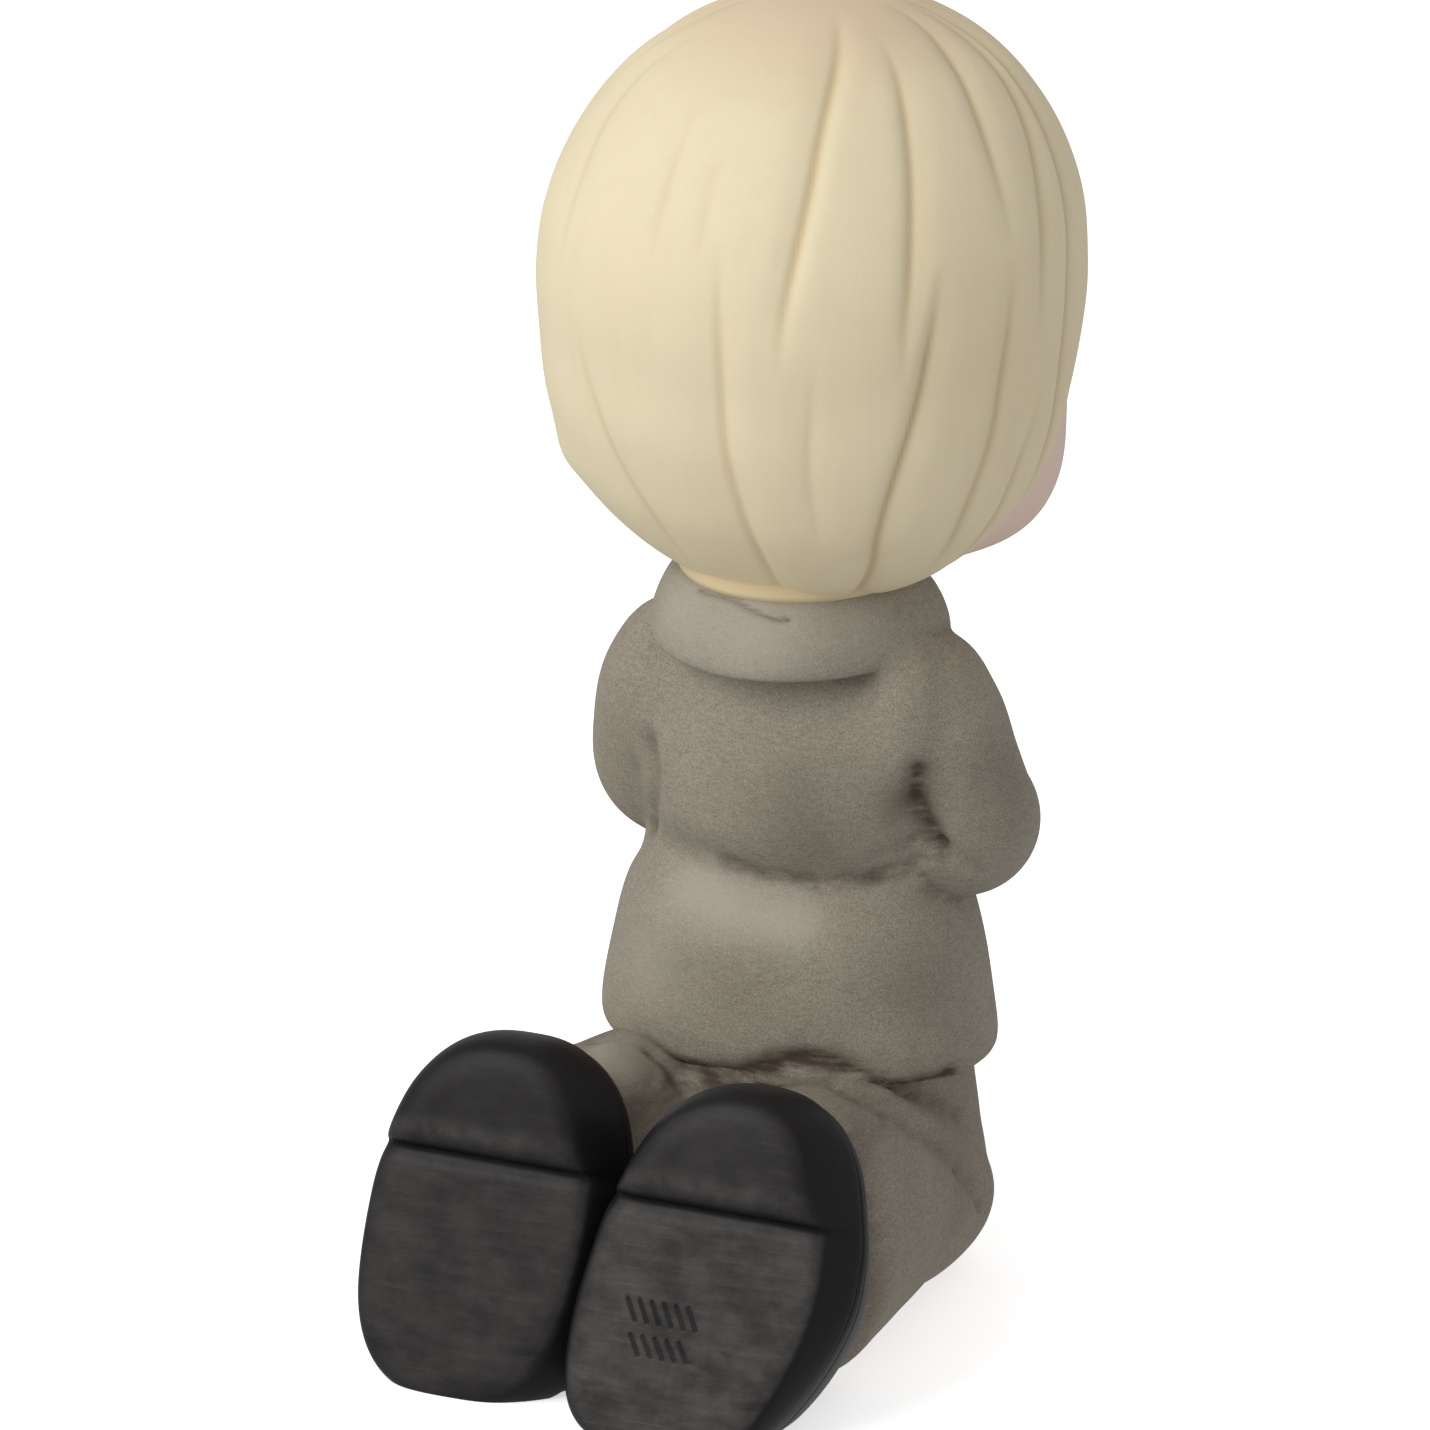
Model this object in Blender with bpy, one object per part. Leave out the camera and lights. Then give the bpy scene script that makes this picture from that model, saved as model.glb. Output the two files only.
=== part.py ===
"""Kneeling boy figurine, a child's figure about 125 mm tall in painted bisque porcelain.

The boy kneels on both knees with his lower legs flat behind him and his hands together in front of his
chest. Head, hair, suit, hands and shoes are one casting, so everything below is fused into one solid.
He faces -Y, his left is +X and +Z is up. The origin is on the floor, under the middle of the figure.

Every form starts as a ball whose rings are pulled to the sections of the limb or garment. The forms
overlap, are fused, and are softened where the real clay runs from one into the other.
"""

import math

import bmesh
import bpy
from mathutils import Matrix, Vector

# Sizes are in millimetres. MM turns them into metres when a form is made.
MM = 0.001

# Lower legs and knees
KNEE_SPACING = 9.0  # each knee's axis, out from the figure's middle
CUFF_SPACING = 11.2  # each trouser cuff's axis, out from the figure's middle
LEG_HALF_WIDTH = 10.0
LEG_HALF_HEIGHT = 13.2
LEG_AXIS_HEIGHT = 12.4  # lower than the half height, so the underside is flat
KNEE_FRONT = 10.5  # forward of the figure's middle
CUFF_BACK = 24.5  # behind the figure's middle

# Shoes, toes down with the soles facing back
SHOE_SPACING = 12.2
SHOE_LENGTH = 35.2
SHOE_HALF_WIDTH = 12.4
SHOE_DEPTH = 14.5  # from the sole's face to where the upper is lost in the trouser leg
SHOE_LEAN = math.radians(18.0)  # the heel stands forward of the toe
SHOE_TURN = math.radians(6.0)  # both soles face a little to the boy's right
SHOE_SWING = 3.0  # how far both toes lie to the boy's left of their heels
TOE_SLANT = 0.4  # both toes reach lower on the boy's left side
TOE_LEFT = {1: 1.0, -1: 1.13}  # his left (1) and right (-1) shoe's width at the toe, on the boy's left side
TOE_RIGHT = {1: 0.97, -1: 0.78}  # the same on the boy's right side, at the sole's face
TOE_BULGE = {1: 1.20, -1: 0.70}  # the same on the boy's right side, in the upper
TOE_SQUARE = {1: 0.72, -1: 0.66}  # how square each toe is on the boy's right side, 1 for round
TOE_SQUARE_LEFT = {1: 0.72, -1: 0.46}  # the same on the boy's left side
HEEL_SQUARE = {1: 0.70, -1: 0.80}  # how square each heel is on the boy's left side, 1 for round
SOLE_DRAFT = 0.16  # how much narrower the sole's face is than the upper, on the boy's right side
HEEL_DRAFT = 0.08  # the same for the heel's face, besides
UPPER_AT_HEEL = 0.70  # the upper's depth at the heel, against the depth in the middle
UPPER_AT_TOE = 1.8
SHOE_HEEL_BACK = 33.4  # the middle of the heel's end, behind the figure's middle
SHOE_HEEL_HEIGHT = 32.9
SOLE_THICKNESS = 4.4
WELT_DEPTH = 0.5
HEEL_LENGTH = 11.4
HEEL_RISE = 1.9

# Jacket
HEM_HEIGHT = 23.6
HEM_HALF_WIDTH = 19.3
HEM_HALF_DEPTH = 15.0
HEM_FRONT = 13.4
WAIST_HALF_WIDTH = 15.2
WAIST_HALF_DEPTH = 12.0
JACKET_HEIGHT = 44.0  # hem to the root of the neck
SLEEVE_RADIUS = 7.2
CUFF_RADIUS = 5.2
ELBOW_OUT = 15.3
RIGHT_SHOULDER_AHEAD = 2.4  # how far his right shoulder is forward of his left

# Collar
COLLAR_TOP_HALF_WIDTH = 10.6
COLLAR_EDGE_HALF_WIDTH = 13.2
COLLAR_BACK_SHARE = 1.12  # how far it stands out at the back against the sides
COLLAR_HEIGHT = 7.2
COLLAR_THICKNESS = 2.6

# Head
HEAD_HEIGHT = 54.9  # chin to crown
HEAD_HALF_WIDTH = 24.0
HEAD_HALF_DEPTH = 23.5
HEAD_BACK_SET = -1.7
HAIR_THICKNESS = 1.1

# Face, each size a share of the head's own
CHEEK_OUT_SHARE = 0.71
CHEEK_FORWARD_SHARE = 0.51
CHEEK_HEIGHT_SHARE = 0.106
CHEEK_SWELL_SHARE = 0.055
CHEEK_REACH_SHARE = 0.146
NOSE_HEIGHT_SHARE = 0.226
MOUTH_HEIGHT_SHARE = 0.142
EYE_HEIGHT_SHARE = 0.317
EYE_OUT_SHARE = 0.36

# Mesh fineness
VOXEL = 0.6
TRIANGLES = 9400

NECK_ROOT = HEM_HEIGHT + JACKET_HEIGHT
CHIN_HEIGHT = NECK_ROOT + 1.0
CROWN_HEIGHT = CHIN_HEIGHT + HEAD_HEIGHT

# Where the arms run into the body: a place, and how far round it the clay is filled
SHOULDERS = [((12.0, 5.0, NECK_ROOT - 9.6), 8.6), ((-13.0, 4.0, NECK_ROOT - 9.6), 8.6)]
ELBOWS = [((14.0, 5.0, NECK_ROOT - 18.6), 7.0), ((-15.5, 4.0, NECK_ROOT - 17.6), 7.0)]


def mix(first, last, share):
    return first + (last - first) * share


def step(low, high, value):
    """0 below low, 1 above high, and a smooth rise between them."""
    share = min(max((value - low) / (high - low), 0.0), 1.0)
    return share * share * (3.0 - 2.0 * share)


def bump(distance, reach):
    """1 at no distance, falling smoothly towards 0 at about twice the reach."""
    return math.exp(-((distance / reach) ** 2))


def along(stations, share):
    """The values at that share of the way down a list of stations, on a smooth curve through them all."""
    spot = share * (len(stations) - 1)
    first = min(int(spot), len(stations) - 2)
    t = spot - first
    near = [stations[min(max(first + k, 0), len(stations) - 1)] for k in (-1, 0, 1, 2)]
    return [
        0.5 * (2 * b + (c - a) * t + (2 * a - 5 * b + 4 * c - d) * t**2 + (3 * b - a - 3 * c + d) * t**3)
        for a, b, c, d in zip(*near)
    ]


def oval(turn, half_width, front, back, squareness=2.0):
    """A point of an oval seen from above, deeper or shallower in front than behind."""
    across, out = math.cos(turn), math.sin(turn)
    power = 2.0 / squareness
    x = half_width * math.copysign(abs(across) ** power, across)
    y = (back if out > 0 else front) * math.copysign(abs(out) ** power, out)
    return x, y


def ball(name, rings, sides, place):
    """A closed form: each point of a ball goes to place(share, turn), share running from its bottom pole
    to its top pole and turn round it."""
    bm = bmesh.new()
    bmesh.ops.create_uvsphere(bm, u_segments=sides, v_segments=rings, radius=1.0)
    for vert in bm.verts:
        share = math.acos(min(max(-vert.co.z, -1.0), 1.0)) / math.pi
        turn = math.atan2(vert.co.y, vert.co.x)
        vert.co = Vector(place(share, turn)) * MM
    return finished(name, bm)


def finished(name, bm):
    bmesh.ops.recalc_face_normals(bm, faces=bm.faces)
    mesh = bpy.data.meshes.new(name)
    bm.to_mesh(mesh)
    bm.free()
    form = bpy.data.objects.new(name, mesh)
    bpy.context.scene.collection.objects.link(form)
    return form


def upright(name, rings, sides, stations, relief=None):
    """A form of flat rings one above another. A station is (height, half width, front, back, middle,
    squareness)."""

    def place(share, turn):
        height, half_width, front, back, middle, squareness = along(stations, share)
        x, y = oval(turn, half_width, front, back, squareness)
        point = Vector((x, y + middle, height))
        return relief(point) if relief else point

    return ball(name, rings, sides, place)


def limb(name, rings, sides, stations, over, side=1):
    """A form of rings threaded on a bent line. A station is (x, y, z, half width, half height), over is the
    direction its height is measured in, and side is -1 for the mirrored limb."""

    def place(share, turn):
        *centre, across, tall = along(stations, share)
        before = Vector(along(stations, max(share - 0.02, 0.0))[:3])
        after = Vector(along(stations, min(share + 0.02, 1.0))[:3])
        run = (after - before).normalized()
        sideways = run.cross(Vector(over)).normalized()
        up = sideways.cross(run)
        point = Vector(centre) + sideways * across * math.cos(turn) + up * tall * math.sin(turn)
        point.x *= side
        return point

    return ball(name, rings, sides, place)


def jacket_relief(point):
    """The soft folds over the seat, and in front the open neck and the edge where the jacket closes."""
    if point.y > 0:
        above = point.z - HEM_HEIGHT - 0.46 * JACKET_HEIGHT - 0.03 * point.x
        fold = 0.8 * bump(above + 6.5, 4.2) - 1.15 * bump(above, 2.1) + 0.4 * bump(above - 5.5, 4.0)
        point.y += fold * step(1.0, 9.0, point.y)
    else:
        opening = 0.42 * (point.z - NECK_ROOT + 17.0)
        point.y += 0.8 * step(-0.5, 0.7, opening - abs(point.x))
        if opening < 0:
            point.y += 0.5 * bump(point.x, 0.7)
    return point


def lump(name, centre, half_sizes):
    """A plain rounded filling between two forms."""

    def place(share, turn):
        wide = math.sin(math.pi * share)
        unit = (wide * math.cos(turn), wide * math.sin(turn), -math.cos(math.pi * share))
        return [middle + half * along_it for middle, half, along_it in zip(centre, half_sizes, unit)]

    return ball(name, 32, 32, place)


def seat():
    """The trousers' seat, which closes the gap between the legs under the jacket's hem."""
    return lump("seat", (0.0, 8.5, HEM_HEIGHT - 4.0), (KNEE_SPACING, 7.5, 9.0))


def shoulder_blade(side):
    """Carries the back of the jacket over into the sleeve, further down on the boy's right."""
    if side > 0:
        return lump("shoulder_blade", (10.6, 2.4, NECK_ROOT - 9.0), (4.6, 6.2, 6.8))
    return lump("shoulder_blade", (-12.0, 2.2, NECK_ROOT - 10.5), (5.4, 6.3, 9.2))


def neck():
    widths = [(-8.0, 0.0), (-7.0, 9.0), (2.0, 10.6), (6.0, 11.0), (8.0, 0.0)]
    stations = [(NECK_ROOT + above, wide, wide, wide, -0.6, 2.0) for above, wide in widths]
    return upright("neck", 16, 48, stations)


def jacket():
    hem, top = HEM_HEIGHT, NECK_ROOT
    waist = hem + 0.40 * JACKET_HEIGHT
    width, front, depth = HEM_HALF_WIDTH, HEM_FRONT, HEM_HALF_DEPTH
    stations = [
        (hem + 1.5, 0.0, 0.0, 0.0, 0.0, 2.2),
        (hem + 1.2, 0.60 * width, 0.60 * front, 0.60 * depth, 0.0, 2.2),
        (hem + 0.2, 0.93 * width, 0.93 * front, 0.93 * depth, 0.0, 2.2),
        (hem + 0.3, 0.985 * width, 0.98 * front, 0.98 * depth, 0.0, 2.2),
        (hem + 1.8, width, 0.99 * front, depth, 0.0, 2.2),
        (hem + 5.0, 0.98 * width, 0.97 * front, 0.99 * depth, 0.0, 2.2),
        (hem + 10.0, 0.925 * width, 1.0 * front, 0.93 * depth, 0.0, 2.2),
        (hem + 14.5, 0.86 * width, 0.97 * front, 0.86 * depth, 0.0, 2.2),
        (waist, WAIST_HALF_WIDTH, 1.03 * WAIST_HALF_DEPTH, WAIST_HALF_DEPTH, 0.0, 2.2),
        (waist + 5.0, 0.98 * WAIST_HALF_WIDTH, WAIST_HALF_DEPTH, 1.03 * WAIST_HALF_DEPTH, 0.0, 2.2),
        (waist + 10.0, WAIST_HALF_WIDTH, WAIST_HALF_DEPTH, 1.03 * WAIST_HALF_DEPTH, 0.0, 2.2),
        (waist + 15.5, 0.98 * WAIST_HALF_WIDTH, 0.97 * WAIST_HALF_DEPTH, WAIST_HALF_DEPTH, 0.0, 2.2),
        (top - 6.5, 0.86 * WAIST_HALF_WIDTH, 0.90 * WAIST_HALF_DEPTH, 0.92 * WAIST_HALF_DEPTH, 0.0, 2.1),
        (top - 2.5, 0.68 * WAIST_HALF_WIDTH, 0.78 * WAIST_HALF_DEPTH, 0.80 * WAIST_HALF_DEPTH, 0.0, 2.0),
        (top + 1.0, 0.50 * WAIST_HALF_WIDTH, 0.62 * WAIST_HALF_DEPTH, 0.64 * WAIST_HALF_DEPTH, 0.0, 2.0),
        (top + 1.5, 0.0, 0.0, 0.0, 0.0, 2.0),
    ]
    return upright("jacket", 96, 96, stations, jacket_relief)


def sleeve(side):
    """Shoulder, elbow and forearm. The elbow stands out and back, and the cuff comes in to the hands."""
    root, radius = NECK_ROOT, SLEEVE_RADIUS
    ahead = RIGHT_SHOULDER_AHEAD if side < 0 else 0.0
    stations = [
        (7.5, 2.0 - 0.5 * ahead, root - 6.5, 0.0, 0.0),
        (9.6 + 0.3 * ahead, 2.0 - ahead, root - 7.3, 0.86 * radius, 0.86 * radius),
        (12.1 + 0.2 * ahead, 1.8 - 1.1 * ahead, root - 10.6, 0.99 * radius, 0.99 * radius),
        (13.9, 0.2 - 0.8 * ahead, root - 15.6, radius, radius),
        (ELBOW_OUT - 0.4, -2.4 - 0.2 * ahead, root - 20.4, 1.02 * radius, 1.02 * radius),
        (ELBOW_OUT - 1.6, -6.4, root - 22.0, 0.98 * radius, 0.98 * radius),
        (ELBOW_OUT - 4.8, -10.2, root - 20.6, 0.88 * radius, 0.88 * radius),
        (7.6, -12.9, root - 18.2, 0.98 * CUFF_RADIUS, 0.98 * CUFF_RADIUS),
        (5.4, -14.4, root - 16.2, CUFF_RADIUS, CUFF_RADIUS),
        (5.2, -14.6, root - 16.0, 0.90 * CUFF_RADIUS, 0.90 * CUFF_RADIUS),
        (5.1, -14.7, root - 15.9, 0.0, 0.0),
    ]
    return limb("sleeve", 72, 40, stations, (0, -1, 0.3), side)


def hand(side):
    """One palm of the pair held together, fingers up, thumb towards the chest."""
    base = NECK_ROOT - 17.0
    stations = [
        (4.4, -12.0, base - 1.6, 0.0, 0.0),
        (4.2, -12.6, base - 1.2, 3.0, 3.2),
        (3.0, -14.4, base + 0.6, 3.1, 3.6),
        (2.3, -15.6, base + 3.0, 2.7, 3.7),
        (1.9, -16.4, base + 5.6, 2.3, 3.5),
        (1.7, -17.1, base + 8.2, 2.0, 3.0),
        (1.5, -17.6, base + 10.6, 1.7, 2.1),
        (1.4, -17.8, base + 11.6, 0.0, 0.0),
    ]
    return limb("hand", 40, 28, stations, (0, -1, 0), side)


def collar():
    """A turned down collar: a folded band, low at the back and rising over the shoulders."""
    bm = bmesh.new()
    bmesh.ops.create_circle(bm, segments=24, radius=1.0)
    profile = list(bm.verts)
    for vert in profile:
        down, out = 0.5 - 0.5 * vert.co.y, vert.co.x
        middle = mix(COLLAR_TOP_HALF_WIDTH, COLLAR_EDGE_HALF_WIDTH, down)
        vert.co = Vector((middle + 0.5 * COLLAR_THICKNESS * out, 0, -down))
    ring = list(bm.verts) + list(bm.edges)
    bmesh.ops.spin(
        bm, geom=ring, axis=(0, 0, 1), cent=(0, 0, 0), angle=2 * math.pi, steps=120, use_merge=True,
    )
    for vert in bm.verts:
        behind = math.sin(math.atan2(vert.co.y, vert.co.x))
        drop = COLLAR_HEIGHT * mix(0.95, 1.0, step(-0.2, 1.0, behind))
        top = NECK_ROOT + 3.5 - 2.4 * step(-0.1, 1.0, -behind)
        deep = mix(1.0, COLLAR_BACK_SHARE, step(-0.6, 0.6, behind))
        vert.co = Vector((vert.co.x, vert.co.y * deep, top + vert.co.z * drop)) * MM
    return finished("collar", bm)


def thigh(side):
    stations = [
        (KNEE_SPACING, 3.5 - KNEE_FRONT, 4.0, 0.0, 0.0),
        (KNEE_SPACING, 4.5 - KNEE_FRONT, 6.5, 6.8, 6.0),
        (KNEE_SPACING - 0.3, 7.5 - KNEE_FRONT, 13.0, 7.8, 9.0),
        (KNEE_SPACING - 0.8, 10.0 - KNEE_FRONT, 19.5, 8.6, 10.0),
        (KNEE_SPACING - 1.2, 11.5 - KNEE_FRONT, HEM_HEIGHT + 3.0, 8.8, 10.5),
        (KNEE_SPACING - 1.6, 12.0 - KNEE_FRONT, HEM_HEIGHT + 8.0, 0.0, 0.0),
    ]
    return limb("thigh", 40, 40, stations, (0, 1, 0), side)


def lower_leg(side):
    width, tall, axis = LEG_HALF_WIDTH, LEG_HALF_HEIGHT, LEG_AXIS_HEIGHT
    knee, cuff = KNEE_SPACING, CUFF_SPACING
    stations = [
        (knee, -KNEE_FRONT, axis - 5.8, 0.0, 0.0),
        (knee, -KNEE_FRONT + 0.8, axis - 5.8, 0.52 * width, 0.34 * tall),
        (knee, -KNEE_FRONT + 3.5, axis - 5.4, 0.80 * width, 0.54 * tall),
        (knee, -KNEE_FRONT + 8.5, axis - 4.4, 0.88 * width, 0.72 * tall),
        (mix(knee, cuff, 0.35), 5.0, axis - 1.0, 0.96 * width, 0.90 * tall),
        (mix(knee, cuff, 0.60), 11.5, axis, 0.98 * width, 0.98 * tall),
        (mix(knee, cuff, 0.85), 18.0, axis + 0.4, 1.01 * width, 1.02 * tall),
        (cuff, CUFF_BACK - 2.0, axis + 0.8, 1.05 * width, 1.05 * tall),
        (cuff, CUFF_BACK + 0.5, axis + 0.8, 1.0 * width, 1.0 * tall),
        (cuff, CUFF_BACK + 2.5, axis + 0.8, 0.88 * width, 0.86 * tall),
        (cuff, CUFF_BACK + 3.5, axis + 0.8, 0.62 * width, 0.60 * tall),
        (cuff, CUFF_BACK + 3.7, axis + 0.8, 0.0, 0.0),
    ]
    return limb("lower_leg", 64, 48, stations, (0, 0, 1), side)


def sole_outline(turn, side, deep):
    """(across, down the sole) of the shoe's outline: a round heel, a broad ball and a square toe. deep is
    0 at the sole's face and 1 in the upper. The face is narrower on the boy's right, where its edge slopes."""
    across, lengthways = math.cos(turn), math.sin(turn)
    toe_square = TOE_SQUARE_LEFT[side] if side * across > 0 else TOE_SQUARE[side]
    square = mix(toe_square, 1.0, step(-0.4, 0.5, lengthways))
    heel_square = HEEL_SQUARE[side] if side * across > 0 else 0.80
    across = math.copysign(abs(across) ** mix(square, heel_square, step(0.2, 0.7, lengthways)), across)
    down = 0.5 - 0.5 * math.copysign(abs(lengthways) ** square, lengthways)
    if side * across > 0:
        broad = mix(1.0, TOE_LEFT[side], step(0.20, 0.75, down))
    else:
        toe = mix(TOE_RIGHT[side], TOE_BULGE[side], deep)
        broad = mix(1.0, toe, step(0.50, 1.0, down)) * (1.0 - SOLE_DRAFT * (1.0 - deep))
    reach = SHOE_LENGTH * down + TOE_SLANT * side * across * step(0.5, 1.0, down)
    return SHOE_HALF_WIDTH * broad * across + side * SHOE_SWING * (down - 0.35), reach


def shoe(side):
    """Upper, welt, sole and heel in one, laid out in the shoe's own directions: down the sole from heel
    to toe, across it, and out of its face."""
    down_dir = Vector((0, math.sin(SHOE_LEAN), -math.cos(SHOE_LEAN)))
    out_dir = Vector((0, math.cos(SHOE_LEAN), math.sin(SHOE_LEAN)))
    heel_end = Vector((SHOE_SPACING, SHOE_HEEL_BACK, SHOE_HEEL_HEIGHT))
    edge, deep, welt = SOLE_THICKNESS, SHOE_DEPTH, 1.0 - WELT_DEPTH / SHOE_HALF_WIDTH
    stations = [
        (0.0, 0.0),
        (0.0, 0.40),
        (0.0, 0.70),
        (-0.15, 0.85),
        (-0.7, 0.94),
        (-1.9, 0.99),
        (0.3 - edge, 1.0),
        (-edge, welt),
        (-0.4 - edge, welt),
        (-0.8 - edge, 0.97),
        (-0.60 * deep, 0.93),
        (-0.78 * deep, 0.84),
        (-0.92 * deep, 0.66),
        (-deep, 0.42),
        (-deep, 0.0),
    ]

    def place(share, turn):
        out, scale = along(stations, share)
        across, reach = sole_outline(turn, side, step(0.0, edge + 1.5, -out))
        across, reach = across * scale, mix(0.5 * SHOE_LENGTH, reach, scale)
        face = 1.0 + out / edge
        if face > 0:
            heel = 1.0 - step(HEEL_LENGTH - 2.4, HEEL_LENGTH + 0.5, reach)
            if side * across < 0:
                across *= 1.0 - HEEL_DRAFT * heel * face
            out += HEEL_RISE * heel * face
        else:
            out = (out + edge) * mix(UPPER_AT_HEEL, UPPER_AT_TOE, step(0.3, 0.9, reach / SHOE_LENGTH)) - edge
        point = heel_end + down_dir * reach + Vector((across, 0, 0)) + out_dir * out
        point.x *= side
        middle = Vector((side * SHOE_SPACING, SHOE_HEEL_BACK, 0))
        return middle + Matrix.Rotation(SHOE_TURN, 3, "Z") @ (point - middle)

    return ball("shoe", 96, 72, place)


def head_section(share):
    """(height, half width, front, back) of the head at a share of the way from chin to crown. The cheeks
    are full and low, and the back draws in to the nape."""
    wide, deep, base = HEAD_HALF_WIDTH, HEAD_HALF_DEPTH, CHIN_HEIGHT
    stations = [
        (0.0, 0.0, 0.0, 0.0),
        (0.007, 0.25, 0.36, 0.24),
        (0.044, 0.44, 0.70, 0.42),
        (0.098, 0.64, 0.88, 0.60),
        (0.171, 0.81, 0.975, 0.765),
        (0.244, 0.91, 1.0, 0.875),
        (0.353, 0.975, 0.955, 0.965),
        (0.463, 0.996, 0.965, 0.996),
        (0.572, 1.0, 0.985, 1.017),
        (0.681, 0.965, 0.965, 0.99),
        (0.790, 0.855, 0.86, 0.88),
        (0.882, 0.685, 0.69, 0.71),
        (0.945, 0.475, 0.49, 0.48),
        (0.987, 0.235, 0.25, 0.24),
        (1.0, 0.0, 0.0, 0.0),
    ]
    height, half_width, front, back = along(stations, share)
    return base + height * HEAD_HEIGHT, half_width * wide, front * deep, back * deep


def head_point(share, turn, swell=0.0):
    height, half_width, front, back = head_section(share)
    x, y = oval(turn, half_width, front, back, 2.08)
    middle = CHIN_HEIGHT + 0.52 * HEAD_HEIGHT
    lean = -2.2 * step(middle, CROWN_HEIGHT, height)
    point = Vector((x, y + HEAD_BACK_SET + lean, height))
    away = Vector((x, y, height - middle)).normalized()
    return point + away * swell


def face():
    """The bare head, with full cheeks low at the sides, a small nose and a soft chin."""
    tall = HEAD_HEIGHT
    cheek = Vector((CHEEK_OUT_SHARE * HEAD_HALF_WIDTH, -CHEEK_FORWARD_SHARE * HEAD_HALF_DEPTH, 0))
    cheek.z = CHIN_HEIGHT + CHEEK_HEIGHT_SHARE * tall
    reach = CHEEK_REACH_SHARE * tall
    nose_height = CHIN_HEIGHT + NOSE_HEIGHT_SHARE * tall
    mouth_height = CHIN_HEIGHT + MOUTH_HEIGHT_SHARE * tall
    eye_height = CHIN_HEIGHT + EYE_HEIGHT_SHARE * tall
    eye_out = EYE_OUT_SHARE * HEAD_HALF_WIDTH

    def place(share, turn):
        point = head_point(share, turn)
        from_cheek = (Vector((abs(point.x), point.y, point.z)) - cheek).length
        out = tall * CHEEK_SWELL_SHARE * bump(from_cheek, reach)
        if point.y < 0:
            nose_reach = (0.05 if point.z > nose_height else 0.03) * tall
            nose = bump(point.x, 0.03 * tall) * bump(point.z - nose_height, nose_reach)
            mouth = bump(point.x, 0.06 * tall) * bump(point.z - mouth_height, 0.016 * tall)
            socket = bump(abs(point.x) - eye_out, 0.06 * tall) * bump(point.z - eye_height, 0.05 * tall)
            out += tall * (0.035 * nose - 0.007 * mouth - 0.008 * socket)
        return head_point(share, turn, out)

    return ball("face", 120, 120, place)


# The hair's lower edge: how far round it is, from -1 at the back of the head to 1 at the front, and its
# height as a share of the head's. It covers the nape and the ears, climbs ahead of them and makes a fringe.
HAIRLINE = [
    (-1.0, -0.05),
    (-0.45, 0.0),
    (-0.15, 0.09),
    (0.08, 0.13),
    (0.16, 0.20),
    (0.25, 0.29),
    (0.45, 0.32),
    (0.60, 0.42),
    (0.72, 0.54),
    (0.85, 0.61),
    (1.0, 0.63),
]


def hairline(ahead):
    """Height of the hair's lower edge that far round."""
    for (start, low), (end, high) in zip(HAIRLINE, HAIRLINE[1:]):
        if ahead <= end:
            return CHIN_HEIGHT + HEAD_HEIGHT * mix(low, high, step(start, end, ahead))
    return CHIN_HEIGHT + HEAD_HEIGHT * HAIRLINE[-1][1]


# Grooves between the locks of hair. Each runs down a meridian of the head: the turn in degrees at its
# top and its bottom, where 90 is the back of the head, the shares of the head it starts and ends at,
# its depth and half its width.
GROOVES = [
    (122, 110, 0.93, 0.56, 0.8, 1.3),
    (148, 136, 0.90, 0.58, 0.6, 1.2),
    (192, 173, 0.92, 0.56, 0.6, 1.2),
    (146, 132, 0.64, 0.10, 0.8, 1.3),
    (165, 156, 0.60, 0.20, 0.6, 1.2),
    (95, 99, 0.66, 0.20, 0.8, 2.0),
    (40, 56, 0.86, 0.60, 0.5, 1.2),
    (56, 72, 0.52, 0.16, 0.7, 1.4),
    (20, 30, 0.92, 0.40, 0.6, 1.3),
    (-8, 2, 0.90, 0.50, 0.6, 1.3),
    (228, 202, 0.93, 0.62, 0.6, 1.3),
    (250, 232, 0.95, 0.66, 0.6, 1.3),
    (274, 262, 0.95, 0.70, 0.6, 1.3),
    (300, 292, 0.95, 0.70, 0.6, 1.3),
    (328, 316, 0.93, 0.64, 0.6, 1.3),
]


def groove_depth(share, turn, radius):
    """How deep the grooves cut the hair at this place, where the head has this radius."""
    deep = 0.0
    for top, bottom, start, end, depth, half_width in GROOVES:
        fade = step(end - 0.05, end + 0.08, share) * (1.0 - step(start - 0.08, start + 0.02, share))
        if fade > 0.0:
            centre = math.radians(mix(bottom, top, (share - end) / (start - end)))
            aside = math.remainder(turn - centre, 2 * math.pi) * radius
            deep = max(deep, depth * fade * bump(aside, half_width))
    return deep


def hair():
    def place(share, turn):
        edge = head_point(share, turn)
        ahead = -math.sin(turn)
        above = edge.z - hairline(ahead)
        thin = step(-0.3, 0.3, ahead) * (1.0 - step(0.70, 0.85, ahead)) * (1.0 - step(0.0, 12.0, above))
        swell = HAIR_THICKNESS * mix(1.0, 0.2, thin)
        if edge.x > 0:
            swell += 0.6 * bump(share - 0.36, 0.03) * bump(math.degrees(turn) - 30.0, 16.0)
        swell -= groove_depth(share, turn, math.hypot(edge.x, edge.y - HEAD_BACK_SET))
        return head_point(share, turn, mix(-2.2, swell, step(-0.45, 0.45, above)))

    return ball("hair", 160, 200, place)


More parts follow.
